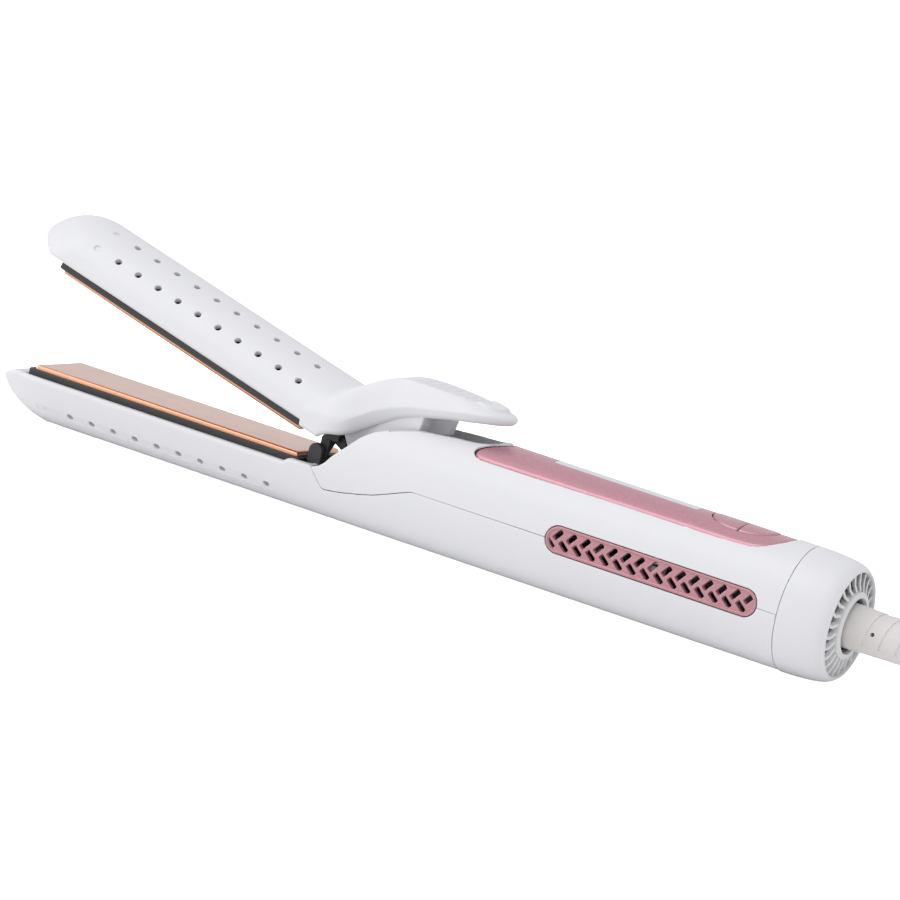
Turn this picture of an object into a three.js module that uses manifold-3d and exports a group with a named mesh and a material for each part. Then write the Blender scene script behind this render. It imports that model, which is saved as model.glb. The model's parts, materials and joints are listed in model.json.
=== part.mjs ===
// Airflow flat iron: a round fan handle, a fixed lower arm and a lever-operated upper arm with heated plates.
// Millimetres. +X runs from the tips towards the cord, +Z is the lever side, Y = 0 is the middle plane.
// The origin is on the flat land under the handle; the handle's own axis runs parallel to X above it.

import * as THREE from "three";
import { mergeVertices } from "three/addons/utils/BufferGeometryUtils.js";
import Module from "manifold-3d";

const wasm = await Module();
wasm.setup();

// ---- driving dimensions -------------------------------------------------------------------------
// Inside the file, x is measured from the rear seam of the handle and z from the handle's axis.
const SEAM_FROM_ORIGIN = 100;
const REAR_RADIUS = 20;
const ARM_RADIUS = 21;
const TAPER_END_X = -150;
const WALL = 2.4;
const GAP = 0.3;
const LAND_DEPTH = 0.4;
const AXIS_HEIGHT = REAR_RADIUS - LAND_DEPTH;

// Arms
const TIP_X = -296;
const NOSE_LENGTH = 27;
const PARTING_Z = -0.9;
const LIP_DROP = 3.5;
const LIP_Z = PARTING_Z - LIP_DROP;
const LIP_THICKNESS = 2.2;
const OPENING_HALF = 16.5;
const OPENING_FRONT_X = -279.8;
const OPENING_REAR_X = -171;
const HOLE_COUNT = 10;
const HOLE_RADIUS = 1.2;
const LOWER_HOLES = { firstX: -260.9, pitch: 8.42, angles: [44, 73] };
const UPPER_HOLES = { firstX: -261.6, pitch: 8.5, angles: [45.3, 73] };

// Plates
const PLATE_FRONT_X = -277.8;
const PLATE_REAR_X = -176.6;
const PLATE_HALF = 15;
const PLATE_THICKNESS = 3.2;
const PLATE_CLEARANCE = 0.15;
const PLATE_EDGE = 1.4;
const CARRIER_HALF = 16.2;
const CARRIER_RIM_DROP = 1.6;
const CARRIER_DEPTH = 9;

// Hinge
const PIVOT_X = -151;
const PIVOT_Z = 8;
const OPEN_ANGLE = THREE.MathUtils.degToRad(14.15);
const PIN_RADIUS = 2;
const KNUCKLE_RADIUS = 5;
const CHEEK_INNER = 8.5;
const CHEEK_OUTER = 12;
const BUSH_RADIUS = 3.3;
const SPRING_RADIUS = 3.6;
const SPRING_WIRE = 0.6;

// Lever, level with the handle's axis when the jaw is open
const LEVER_TOP_Z = 31.2;
const LEVER_TIP_X = -110.9;
const LEVER_HALF = 13;
const LEVER_FLAT_HALF = 9.2;
const LEVER_SHOULDER = 4.4;
const FIN_HALF = 2.2;

// Handle fittings
const CAP_LENGTH = 17;
const CAP_RIM_RADIUS = 17.4;
const CAP_OPENING_RADIUS = 16.35;
const CAP_BORE = 17.2;
const GRILLE_FRONT_X = 11;
const VANE_COUNT = 30;
const HUB_RADIUS = 10.6;
const HUB_BORE = 8.2;
const PANEL_HALF = 14;
const PANEL_FRONT_X = -117.3;
const PANEL_REAR_X = -6.9;
const PANEL_THICKNESS = 1.2;
const PANEL_RECESS = 1.5;
const DISPLAY_FRONT_X = -93.5;
const DISPLAY_REAR_X = -41.5;
const DISPLAY_HALF = 3.3;
const BUTTON_FRONT_X = -36.6;
const BUTTON_REAR_X = -13.6;
const BUTTON_SPLIT_X = -24.7;
const BUTTON_HALF = 8.1;
const VENT_FRONT_X = -82.2;
const VENT_REAR_X = -7.2;
const VENT_HALF_HEIGHT = 4.35;
const VENT_Z = -0.1;
const SLOT_COUNT = 14;
const SLOT_PITCH = 4.863;
const UPPER_SLOTS = { firstX: -78.1, z: 1.45, degrees: 52 };
const LOWER_SLOTS = { firstX: -75.54, z: -1.75, degrees: -41 };
const SPLIT_Z = -0.5;
const CORD_RADIUS = 3.4;

// ---- materials ------------------------------------------------------------------------------------
function finish(color, roughness, metalness = 0) {
  return new THREE.MeshStandardMaterial({ color, roughness, metalness });
}

const FINISH = {
  whiteShell: () => finish(0xeeeef1, 0.45),
  pinkPanel: () => finish(0xd6a0b2, 0.35, 0.5),
  pinkVent: () => finish(0xbf7f8c, 0.4, 0.3),
  blackPlastic: () => finish(0x2b2b2d, 0.6),
  copperPlate: () => finish(0xd9a48a, 0.3, 0.7),
  lens: () => finish(0xc9ccd2, 0.15),
  pocketGrey: () => finish(0xaaaaac, 0.5),
  cordRubber: () => finish(0xe6e1df, 0.7),
  steel: () => finish(0xb8babd, 0.3, 0.9),
  ceramic: () => finish(0xd8d4c8, 0.7),
  board: () => finish(0x2f6b45, 0.6),
};

// ---- solid helpers --------------------------------------------------------------------------------
function solid(geometry) {
  const bare = geometry.index ? geometry.toNonIndexed() : geometry.clone();
  bare.deleteAttribute("normal");
  bare.deleteAttribute("uv");
  const merged = mergeVertices(bare, 1e-4);
  const corners = merged.index.array;
  const triangles = [];
  for (let i = 0; i < corners.length; i += 3) {
    const [a, b, c] = [corners[i], corners[i + 1], corners[i + 2]];
    if (a !== b && b !== c && a !== c) triangles.push(a, b, c);
  }
  return new wasm.Manifold(new wasm.Mesh({
    numProp: 3,
    vertProperties: new Float32Array(merged.attributes.position.array),
    triVerts: new Uint32Array(triangles),
  }));
}

function mesh(name, body, material) {
  const { vertProperties, triVerts } = body.getMesh();
  const geometry = new THREE.BufferGeometry();
  geometry.setAttribute("position", new THREE.BufferAttribute(Float32Array.from(vertProperties), 3));
  geometry.setIndex(Array.from(triVerts));
  const faceted = geometry.toNonIndexed();
  faceted.computeVertexNormals();
  const part = new THREE.Mesh(faceted, material());
  part.name = name;
  return part;
}

function union(bodies) {
  return bodies.reduce((sum, body) => sum.add(body));
}

function box(x0, x1, y0, y1, z0, z1) {
  const geometry = new THREE.BoxGeometry(x1 - x0, y1 - y0, z1 - z0);
  geometry.translate((x0 + x1) / 2, (y0 + y1) / 2, (z0 + z1) / 2);
  return solid(geometry);
}

// Solid of revolution about the X axis from [x, radius] points; the ends are closed onto the axis.
function turned(points, segments = 40) {
  const profile = points.map(([x, radius]) => new THREE.Vector2(radius, x));
  profile.unshift(new THREE.Vector2(0, points[0][0]));
  profile.push(new THREE.Vector2(0, points.at(-1)[0]));
  const geometry = new THREE.LatheGeometry(profile, segments);
  geometry.rotateZ(-Math.PI / 2);
  return solid(geometry);
}

// Ring about the X axis with a plain bore.
function ring(x0, x1, outer, inner, segments = 32) {
  return turned([[x0, outer], [x1, outer]], segments).subtract(turned([[x0 - 1, inner], [x1 + 1, inner]], segments));
}

function cylinderX(x0, x1, radius, y, z, segments = 24) {
  return turned([[x0, radius], [x1, radius]], segments).translate([0, y, z]);
}

function cylinderY(x, z, radius, y0, y1, segments = 24) {
  const geometry = new THREE.CylinderGeometry(radius, radius, y1 - y0, segments);
  geometry.translate(x, (y0 + y1) / 2, z);
  return solid(geometry);
}

function cylinderZ(x, y, radius, z0, z1, segments = 20) {
  const geometry = new THREE.CylinderGeometry(radius, radius, z1 - z0, segments);
  geometry.rotateX(Math.PI / 2);
  geometry.translate(x, y, (z0 + z1) / 2);
  return solid(geometry);
}

// Extrusion across Y of an outline given as [x, z] points.
function sideways(outline, y0, y1) {
  const shape = new THREE.Shape(outline.map(([x, z]) => new THREE.Vector2(x, z)));
  const geometry = new THREE.ExtrudeGeometry(shape, { depth: y1 - y0, bevelEnabled: false });
  geometry.rotateX(Math.PI / 2);
  geometry.translate(0, y1, 0);
  return solid(geometry);
}

// Outline across Y and Z, extruded along X.
function lengthwise(outline, x0, x1) {
  const geometry = new THREE.ExtrudeGeometry(outline, { depth: x1 - x0, bevelEnabled: false, curveSegments: 4 });
  geometry.rotateX(Math.PI / 2);
  geometry.rotateZ(Math.PI / 2);
  geometry.translate(x0, 0, 0);
  return solid(geometry);
}

// Extrusion along Z of an outline given as a Shape in X and Y.
function upright(shape, z0, z1, curveSegments = 6) {
  const geometry = new THREE.ExtrudeGeometry(shape, { depth: z1 - z0, bevelEnabled: false, curveSegments });
  geometry.translate(0, 0, z0);
  return solid(geometry);
}

function mirroredInY(body) {
  return body.mirror([0, 1, 0]);
}

// ---- body envelope --------------------------------------------------------------------------------
function bodyRadius(x) {
  return THREE.MathUtils.mapLinear(Math.max(x, TAPER_END_X), TAPER_END_X, 0, ARM_RADIUS, REAR_RADIUS);
}

// Rounded nose, straight arm, then the handle's slight taper up to rearX; inset moves the skin inwards.
function envelope(inset, rearX) {
  const points = [];
  const steps = 6;
  for (let i = 0; i <= steps; i += 1) {
    const angle = (Math.PI / 2) * (0.06 + 0.94 * (i / steps));
    const x = TIP_X + inset + (NOSE_LENGTH - inset) * (1 - Math.cos(angle));
    points.push([x, (ARM_RADIUS - inset) * Math.sin(angle) ** 0.85]);
  }
  points.push([TAPER_END_X, ARM_RADIUS - inset]);
  points.push([rearX, bodyRadius(Math.min(rearX, 0)) - inset]);
  return turned(points, 40);
}

// Cavity of an arm: open lengthways, closed above by two lips either side of the plate opening.
function armCavity() {
  const hollow = envelope(WALL, -150).subtract(box(-310, -140, -30, 30, LIP_Z - LIP_THICKNESS, 40));
  const floor = LIP_Z - LIP_THICKNESS - 0.1;
  const opening = box(OPENING_FRONT_X, OPENING_REAR_X, -OPENING_HALF, OPENING_HALF, floor, 5);
  return hollow.add(opening);
}

function radialHole(x, y, z) {
  const geometry = new THREE.CylinderGeometry(HOLE_RADIUS, HOLE_RADIUS, 8, 6);
  geometry.rotateX(Math.atan2(z, y));
  geometry.translate(x, y, z);
  return solid(geometry);
}

// Rows of holes at each side of the arm, at their angles below the horizontal.
function holeRows({ firstX, pitch, angles }) {
  const holes = [];
  for (const degrees of angles) {
    const angle = THREE.MathUtils.degToRad(degrees);
    for (const side of [-1, 1]) {
      const y = side * ARM_RADIUS * Math.cos(angle);
      for (let i = 0; i < HOLE_COUNT; i += 1) {
        holes.push(radialHole(firstX + i * pitch, y, -ARM_RADIUS * Math.sin(angle)));
      }
    }
  }
  return union(holes);
}

// ---- handle shells --------------------------------------------------------------------------------
const EAR_FRONT = [[-168.4, -2.9], [-163.3, -9.2]];
const EAR_UNDERSIDE = [[-156, -8.3], [-144.3, -5.5], [-137, -2.7], [-131.3, SPLIT_Z]];
const EAR_TOP = [[-145.4, 16], [-150.9, 13.7], [-154.8, 10.6], [-158.5, 6], [-161.8, 2.4], [-164.4, -1.1]];
const SCREW_XS = [-128, -101, -48];
const POST_TOPS = [12, 18.4, 8];

function belowSplit() {
  const edge = [...EAR_FRONT, ...EAR_UNDERSIDE].map(([x, z]) => [x - GAP / 2, z - GAP / 2]);
  return sideways([
    [-310, -40], [0 - GAP / 2, -40], [0 - GAP / 2, SPLIT_Z - GAP / 2], ...edge.reverse(),
    [OPENING_REAR_X, LIP_Z], [-283, LIP_Z], [-297, -10], [-310, -12],
  ], -40, 40);
}

function aboveSplit() {
  const edge = [...EAR_FRONT, ...EAR_UNDERSIDE].map(([x, z]) => [x + GAP / 2, z + GAP / 2]);
  return sideways([
    ...edge, [0 - GAP / 2, SPLIT_Z + GAP / 2], [0 - GAP / 2, 40], [EAR_TOP[0][0], 40], ...EAR_TOP,
  ], -40, 40);
}

function ventOutline(grow) {
  const half = VENT_HALF_HEIGHT + grow;
  const corner = 4.1 + grow;
  const shape = new THREE.Shape();
  const [x0, x1, z0, z1] = [VENT_FRONT_X - grow, VENT_REAR_X + grow, VENT_Z - half, VENT_Z + half];
  shape.moveTo(x0 + corner, z0);
  shape.lineTo(x1 - corner, z0);
  shape.absarc(x1 - corner, z0 + corner, corner, -Math.PI / 2, 0);
  shape.absarc(x1 - corner, z1 - corner, corner, 0, Math.PI / 2);
  shape.absarc(x0 + corner, z1 - corner, corner, Math.PI / 2, Math.PI);
  shape.absarc(x0 + corner, z0 + corner, corner, Math.PI, 1.5 * Math.PI);
  return shape;
}

// Pill-shaped bar through the handle's left side (y negative), used as window cutter and as insert blank.
function ventBar(grow) {
  const geometry = new THREE.ExtrudeGeometry(ventOutline(grow), { depth: 10, bevelEnabled: false, curveSegments: 4 });
  geometry.rotateX(Math.PI / 2);
  geometry.translate(0, -14, 0);
  return solid(geometry);
}

function screwTunnel(x) {
  const shank = cylinderZ(x, 0, 1.7, -30, 30);
  const head = cylinderZ(x, 0, 3.1, -30, -16.2);
  return shank.add(head);
}

function lowerShell() {
  const skin = envelope(0, 0).intersect(belowSplit());
  const handleHollow = envelope(WALL, 2).intersect(box(OPENING_REAR_X - 2, 5, -40, 40, -40, 40));
  const bosses = SCREW_XS.map((x) => cylinderZ(x, 0, 4.6, -19.4, -10));
  let shell = skin.subtract(armCavity()).subtract(handleHollow).add(union(bosses));
  shell = shell.subtract(box(-255, 5, -20, 20, -40, -AXIS_HEIGHT));
  shell = shell.subtract(holeRows(LOWER_HOLES));
  shell = shell.subtract(ventBar(GAP)).subtract(mirroredInY(ventBar(GAP)));
  for (const x of SCREW_XS) shell = shell.subtract(screwTunnel(x));
  return mesh("lower_shell", shell, FINISH.whiteShell);
}

// Plan outline of the pocket that the lever drops into, narrowing to a round end at the rear.
function pocketShape() {
  const shape = new THREE.Shape();
  shape.moveTo(-175, -13.2);
  shape.lineTo(-146, -13.2);
  shape.quadraticCurveTo(-138, -10.8, -125, -8.9);
  shape.quadraticCurveTo(-112.3, -7.4, -112.3, 0);
  shape.quadraticCurveTo(-112.3, 7.4, -125, 8.9);
  shape.quadraticCurveTo(-138, 10.8, -146, 13.2);
  shape.lineTo(-175, 13.2);
  return shape;
}

function pocketCut() {
  const ramp = sideways([
    [-180, -30], [-143.5, -30], [-143.5, 12.5], [-128, 13.2], [-119, 15.6], [-108, 19.8], [-105, 40], [-180, 40],
  ], -20, 20);
  return upright(pocketShape(), -6, 40, 5).intersect(ramp);
}

function pocketBlock() {
  return box(-143, -106, -15, 15, 10.2, 19).intersect(envelope(WALL / 2, 2));
}

// Plan outline of the control panel: two horns beside the pocket, straight sides and a rounded tail.
function panelShape(grow) {
  const half = PANEL_HALF + grow;
  const shape = new THREE.Shape();
  const rear = PANEL_REAR_X + grow;
  shape.moveTo(PANEL_FRONT_X + 3.2 - grow, -half);
  shape.lineTo(-28, -half);
  shape.bezierCurveTo(-14, -half, rear, -half * 0.62, rear, 0);
  shape.bezierCurveTo(rear, half * 0.62, -14, half, -28, half);
  shape.lineTo(PANEL_FRONT_X + 3.2 - grow, half);
  shape.quadraticCurveTo(PANEL_FRONT_X - 0.5 - grow, half - 0.6, PANEL_FRONT_X - grow, 10.4 - grow);
  shape.quadraticCurveTo(-112 - grow, 4.5, -110.2 - grow, 0);
  shape.quadraticCurveTo(-112 - grow, -4.5, PANEL_FRONT_X - grow, -10.4 + grow);
  shape.quadraticCurveTo(PANEL_FRONT_X - 0.5 - grow, -half + 0.6, PANEL_FRONT_X + 3.2 - grow, -half);
  return shape;
}

function layer(shape, outerInset, innerInset) {
  const band = envelope(outerInset, 2).subtract(envelope(innerInset, 3));
  return upright(shape, 3, 40).intersect(band);
}

function displayShape(grow) {
  const shape = new THREE.Shape();
  const [x0, x1, half] = [DISPLAY_FRONT_X - grow, DISPLAY_REAR_X + grow, DISPLAY_HALF + grow];
  shape.moveTo(x0 + 2, -half);
  shape.lineTo(x1 - 2, -half);
  shape.quadraticCurveTo(x1, -half, x1, 0);
  shape.quadraticCurveTo(x1, half, x1 - 2, half);
  shape.lineTo(x0 + 2, half);
  shape.quadraticCurveTo(x0, half, x0, 0);
  shape.quadraticCurveTo(x0, -half, x0 + 2, -half);
  return shape;
}

function buttonOval(grow) {
  const shape = new THREE.Shape();
  const middle = (BUTTON_FRONT_X + BUTTON_REAR_X) / 2;
  const reach = (BUTTON_REAR_X - BUTTON_FRONT_X) / 2 + grow;
  shape.absellipse(middle, 0, reach, BUTTON_HALF + grow, 0, 2 * Math.PI);
  return shape;
}

function upperShell() {
  const skin = envelope(0, 0).intersect(aboveSplit());
  const hollow = envelope(WALL, 2).subtract(pocketBlock());
  let shell = skin.subtract(hollow);
  for (const side of [-1, 1]) {
    const [y0, y1] = side < 0 ? [-17.6, -13.2] : [13.2, 17.6];
    shell = shell.add(cylinderY(PIVOT_X, PIVOT_Z, 4.6, y0, y1));
  }
  SCREW_XS.forEach((x, i) => {
    shell = shell.add(cylinderZ(x, 0, 3.4, -9.6, POST_TOPS[i]));
  });
  shell = shell.add(box(-49, -47, -17.5, 17.5, 5, 8).intersect(envelope(1, 2)));
  shell = shell.subtract(pocketCut());
  shell = shell.subtract(layer(panelShape(GAP), -1, PANEL_RECESS));
  shell = shell.subtract(upright(displayShape(GAP), 14, 40));
  shell = shell.subtract(upright(buttonOval(GAP), 14, 40));
  shell = shell.subtract(ventBar(GAP)).subtract(mirroredInY(ventBar(GAP)));
  shell = shell.subtract(cylinderY(PIVOT_X, PIVOT_Z, PIN_RADIUS + GAP, -16.9, 16.9));
  for (const x of SCREW_XS) shell = shell.subtract(cylinderZ(x, 0, 1.7, -12, 6));
  return mesh("upper_shell", shell, FINISH.whiteShell);
}

// ---- rear end -------------------------------------------------------------------------------------
function rearCap() {
  const outer = turned([
    [GAP / 2, REAR_RADIUS], [6, REAR_RADIUS - 0.1], [10, 19.6], [13.5, 18.9],
    [CAP_LENGTH - 1, 18], [CAP_LENGTH, CAP_RIM_RADIUS],
  ], 40);
  const step = GRILLE_FRONT_X - 1.2;
  const bore = turned([
    [-1, CAP_BORE], [step, CAP_BORE], [step, CAP_OPENING_RADIUS], [15.3, CAP_OPENING_RADIUS],
    [CAP_LENGTH + 0.1, 17.1],
  ], 40);
  return mesh("rear_cap", outer.subtract(bore), FINISH.whiteShell);
}

function intakeGrille() {
  const [x0, x1] = [GRILLE_FRONT_X, 15.2];
  const outerRing = ring(x0, x1 - 0.8, CAP_OPENING_RADIUS - GAP, CAP_OPENING_RADIUS - 1);
  const collar = ring(x0 + 1, CAP_LENGTH, HUB_RADIUS, HUB_BORE + 1.1);
  const vanes = [];
  for (let i = 0; i < VANE_COUNT; i += 1) {
    const geometry = new THREE.BoxGeometry(x1 - x0, 5.8, 1);
    geometry.rotateX(THREE.MathUtils.degToRad(24));
    geometry.translate((x0 + x1) / 2, 12.9, 0);
    geometry.rotateX((2 * Math.PI * i) / VANE_COUNT);
    vanes.push(solid(geometry));
  }
  return mesh("intake_grille", union([outerRing, collar, ...vanes]), FINISH.whiteShell);
}

// Fixed socket inside the grille collar, closed by a flange in front of the swivel ball.
function cordSocket() {
  const sleeve = ring(4, CAP_LENGTH, HUB_BORE + 0.8, HUB_BORE, 24);
  const flange = ring(3, 5, HUB_BORE + 0.8, 3, 24);
  return mesh("cord_socket", sleeve.add(flange), FINISH.blackPlastic);
}

function cordSwivel() {
  const ball = turned([[6, 5.4], [6.8, 7.4], [9, 7.9], [12.5, 7.9], [13.2, 7.2]], 24);
  return mesh("cord_swivel", ball.subtract(turned([[5, 2.2], [14, 2.2]], 16)), FINISH.blackPlastic);
}

// Tapered rubber sleeve with turned grooves.
function strainRelief() {
  const [start, end] = [13.5, 52];
  const points = [[start, 7.4], [27, 7.1]];
  const grooves = 5;
  for (let i = 0; i < grooves; i += 1) {
    const x = 28 + i * 4.4;
    const radius = 7 - (x - 28) * 0.075;
    points.push([x, radius], [x + 0.3, radius - 0.7], [x + 1.1, radius - 0.7], [x + 1.4, radius - 0.1]);
  }
  points.push([end, 4.6]);
  const sleeve = turned(points, 20);
  const bore = turned([[start - 1, CORD_RADIUS + GAP], [end + 1, CORD_RADIUS + GAP]], 20);
  return mesh("strain_relief", sleeve.subtract(bore), FINISH.cordRubber);
}

function powerCord() {
  return mesh("power_cord", cylinderX(14, 80, CORD_RADIUS, 0, 0, 20), FINISH.cordRubber);
}

// ---- handle fittings ------------------------------------------------------------------------------
function controlPanel() {
  let panel = layer(panelShape(0), PANEL_RECESS - PANEL_THICKNESS - GAP, PANEL_RECESS - GAP);
  panel = panel.subtract(upright(displayShape(0.2), 3, 40)).subtract(upright(buttonOval(0.25), 3, 40));
  return mesh("control_panel", panel, FINISH.pinkPanel);
}

function displayLens() {
  return mesh("display_lens", layer(displayShape(-0.1), 0.1, 2.2), FINISH.lens);
}

function buttonHalf(name, x0, x1) {
  const cap = layer(buttonOval(-0.1), -0.1, 2.6);
  const half = cap.intersect(box(x0, x1, -20, 20, 0, 40));
  return mesh(name, half, FINISH.pinkPanel);
}

function ventGrille(name, left) {
  const outer = envelope(-0.1, 2);
  const inner = envelope(WALL, 3);
  const rim = ventBar(0).intersect(outer).subtract(inner);
  let insert = rim.subtract(ventBar(-0.9).subtract(envelope(0.7, 3)));
  for (let i = 0; i < SLOT_COUNT; i += 1) {
    for (const { firstX, z, degrees } of [UPPER_SLOTS, LOWER_SLOTS]) {
      insert = insert.subtract(ventSlot(firstX + i * SLOT_PITCH, z, degrees));
    }
  }
  return mesh(name, left ? insert : mirroredInY(insert), FINISH.pinkVent);
}

function ventSlot(x, z, degrees) {
  const geometry = new THREE.BoxGeometry(3.2, 12, 1.1);
  geometry.rotateY(THREE.MathUtils.degToRad(-degrees));
  geometry.translate(x, -19, z);
  return solid(geometry);
}

// ---- electrics ------------------------------------------------------------------------------------
const CONTROL_BOARD_Z = 12.4;

function controlBoard() {
  const plate = box(-96.5, -15.5, -8, 8, CONTROL_BOARD_Z, CONTROL_BOARD_Z + 1.2);
  const slots = box(-94, -88, -4.4, 4.4, 5, 20).add(box(-52, -44, -4.4, 4.4, 5, 20));
  return mesh("control_board", plate.subtract(slots), FINISH.board);
}

function displayModule() {
  return mesh("display_module", box(-86, -55, -4, 4, CONTROL_BOARD_Z + 1.4, 16.6), FINISH.lens);
}

function tactSwitch(name, x) {
  const body = box(x - 2, x + 2, -2, 2, CONTROL_BOARD_Z + 1.4, 15.6);
  return mesh(name, body.add(cylinderZ(x, 0, 1, 15.4, 16.1, 12)), FINISH.blackPlastic);
}

function mainBoard() {
  const plate = box(-122, -53, -13, 13, -6, -4.4);
  const capacitor = cylinderX(-72, -58, 5, 6, 1.2, 16);
  const choke = box(-92, -86, -9, 3, -4.5, 4);
  const seat = box(-70, -60, 3, 9, -4.6, -2.5);
  const postHole = cylinderZ(-101, 0, 4.4, -10, 0);
  return mesh("main_board", union([plate, seat, capacitor, choke]).subtract(postHole), FINISH.board);
}

function fanHousing() {
  const duct = [-14.5, GRILLE_FRONT_X - 1.5];
  const barrel = ring(...duct, 16.6, 15.4);
  const cup = ring(-24, -14, 9.6, 8.4, 32);
  const struts = [0, 1, 2].map((i) => {
    const geometry = new THREE.BoxGeometry(2, 7.4, 1.6);
    geometry.translate(-13.2, 12.6, 0);
    geometry.rotateX((2 * Math.PI * i) / 3);
    return solid(geometry);
  });
  const flange = ring(-14.2, -12.2, 9.6, 8.4, 32);
  return mesh("fan_housing", union([barrel, cup, flange, ...struts]), FINISH.blackPlastic);
}

function fanMotor() {
  const can = cylinderX(-44, -14.2, 8, 0, 0, 32);
  return mesh("fan_motor", can.add(cylinderX(-14.3, -4.5, 1, 0, 0, 12)), FINISH.steel);
}

function fanImpeller() {
  const hub = turned([[-11, 6.4], [-6, 6.2], [-3.6, 4.6]], 28);
  const blades = [];
  const count = 7;
  for (let i = 0; i < count; i += 1) {
    const geometry = new THREE.BoxGeometry(7.6, 9.4, 0.9);
    geometry.rotateY(THREE.MathUtils.degToRad(38));
    geometry.translate(-7.2, 10.2, 0);
    geometry.rotateX((2 * Math.PI * i) / count);
    blades.push(solid(geometry).intersect(turned([[-12, 14.8], [-2.5, 14.8]], 40)));
  }
  const bore = cylinderX(-13, -4, 1 + GAP, 0, 0, 12);
  return mesh("fan_impeller", union([hub, ...blades]).subtract(bore), FINISH.blackPlastic);
}

// ---- screws and springs ---------------------------------------------------------------------------
function screw(name, x, y, headZ, length, direction) {
  const head = cylinderZ(0, 0, 2.6, 0, 1.8);
  const shank = cylinderZ(0, 0, 1.3, 1.7, length, 12);
  const recess = box(-1.4, 1.4, -0.35, 0.35, -1, 0.9).add(box(-0.35, 0.35, -1.4, 1.4, -1, 0.9));
  const body = head.add(shank).subtract(recess);
  const turnedOver = direction > 0 ? body : body.mirror([0, 0, 1]);
  return mesh(name, turnedOver.translate([x, y, headZ]), FINISH.steel);
}

function coil(radius, wire, turns, rise, tails) {
  const points = [];
  const perTurn = 8;
  if (tails) points.push(new THREE.Vector3(-9, 0, -7.5));
  for (let i = 0; i <= turns * perTurn; i += 1) {
    const angle = -Math.PI / 2 + (2 * Math.PI * i) / perTurn;
    const along = (rise * i) / (turns * perTurn);
    points.push(new THREE.Vector3(radius * Math.cos(angle), along, radius * Math.sin(angle)));
  }
  if (tails) points.push(new THREE.Vector3(-9, rise, -7.5));
  const path = new THREE.CatmullRomCurve3(points, false, "catmullrom", 0.3);
  const shape = new THREE.Shape();
  shape.absarc(0, 0, wire, 0, 2 * Math.PI);
  return new THREE.ExtrudeGeometry(shape, {
    steps: Math.round(1.25 * points.length), extrudePath: path, bevelEnabled: false, curveSegments: 2,
  });
}

function hingeSpring() {
  const geometry = coil(SPRING_RADIUS, SPRING_WIRE, 5, 12, true);
  geometry.translate(PIVOT_X, -6, PIVOT_Z);
  return mesh("hinge_spring", solid(geometry), FINISH.steel);
}

function plateSpring(name, x, z) {
  const geometry = coil(3, 0.4, 1.6, 1.5, false);
  geometry.rotateX(Math.PI / 2);
  geometry.translate(x, 0, z);
  return mesh(name, solid(geometry), FINISH.steel);
}

// ---- plates and carriers, drawn for the lower arm ---------------------------------------------------
function plateBody() {
  const top = PARTING_Z - PLATE_CLEARANCE;
  const bottom = top - PLATE_THICKNESS;
  const edge = PLATE_EDGE;
  const outline = new THREE.Shape();
  outline.moveTo(-PLATE_HALF, bottom);
  outline.lineTo(PLATE_HALF, bottom);
  outline.lineTo(PLATE_HALF, top - edge);
  outline.absarc(PLATE_HALF - edge, top - edge, edge, 0, Math.PI / 2);
  outline.absarc(-PLATE_HALF + edge, top - edge, edge, Math.PI / 2, Math.PI);
  return lengthwise(outline, PLATE_FRONT_X, PLATE_REAR_X);
}

const HEATER_TOP = PARTING_Z - PLATE_CLEARANCE - PLATE_THICKNESS - GAP;

function heaterBody() {
  return box(PLATE_FRONT_X + 14, PLATE_REAR_X - 12, -9, 9, HEATER_TOP - 1.6, HEATER_TOP);
}

// Open tray: the plate and its heater float inside the rim, the floor carries the plate springs.
function carrierBody() {
  const rimTop = PARTING_Z - CARRIER_RIM_DROP;
  const floor = rimTop - CARRIER_DEPTH;
  const [x0, x1] = [OPENING_FRONT_X + GAP, PLATE_REAR_X + 1.4];
  const rim = box(x0, x1, -CARRIER_HALF, CARRIER_HALF, LIP_Z - LIP_THICKNESS, rimTop);
  const tub = box(x0, x1, -CARRIER_HALF, CARRIER_HALF, floor, rimTop).intersect(envelope(WALL + GAP, -150));
  const tray = rim.add(tub);
  const well = box(PLATE_FRONT_X - 0.4, PLATE_REAR_X + 0.4, -PLATE_HALF - 0.4, PLATE_HALF + 0.4, floor + 1.4, 5);
  const screwHoles = [-1, 1].map((end) => cylinderZ(end < 0 ? -268 : -186, 0, 1.7, -30, 5));
  const airSlots = [-252, -232, -212].map((x) => box(x, x + 12, -10, 10, -30, 5));
  return tray.subtract(well).subtract(union([...screwHoles, ...airSlots]));
}

const SPRING_Z = PARTING_Z - CARRIER_RIM_DROP - CARRIER_DEPTH + 1.4 + 0.7;

// ---- hinge ------------------------------------------------------------------------------------------
function hingePin() {
  return mesh("hinge_pin", cylinderY(PIVOT_X, PIVOT_Z, PIN_RADIUS, -16.6, 16.6, 20), FINISH.steel);
}

function hingeBush(name, y0, y1) {
  const outer = cylinderY(PIVOT_X, PIVOT_Z, BUSH_RADIUS, y0, y1);
  return mesh(name, outer.subtract(cylinderY(PIVOT_X, PIVOT_Z, PIN_RADIUS + 0.15, y0 - 1, y1 + 1)), FINISH.steel);
}

// Black bracket on the lower arm that shields the wiring beside the hinge.
function lowerWireGuard() {
  const shape = new THREE.Shape();
  shape.moveTo(-174, -9);
  shape.lineTo(-169.8, -9);
  shape.lineTo(-169.8, 2.8);
  shape.absarc(-171.9, 2.8, 2.1, 0, Math.PI);
  const tab = new THREE.ExtrudeGeometry(shape, { depth: 2.4, bevelEnabled: false, curveSegments: 5 });
  tab.rotateX(Math.PI / 2);
  tab.translate(0, -11.6, 0);
  const left = solid(tab);
  return mesh("lower_wire_guard", left.add(mirroredInY(left)).add(box(-173.5, -170.5, -13, 13, -9, -7.6)),
    FINISH.blackPlastic);
}

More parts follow.
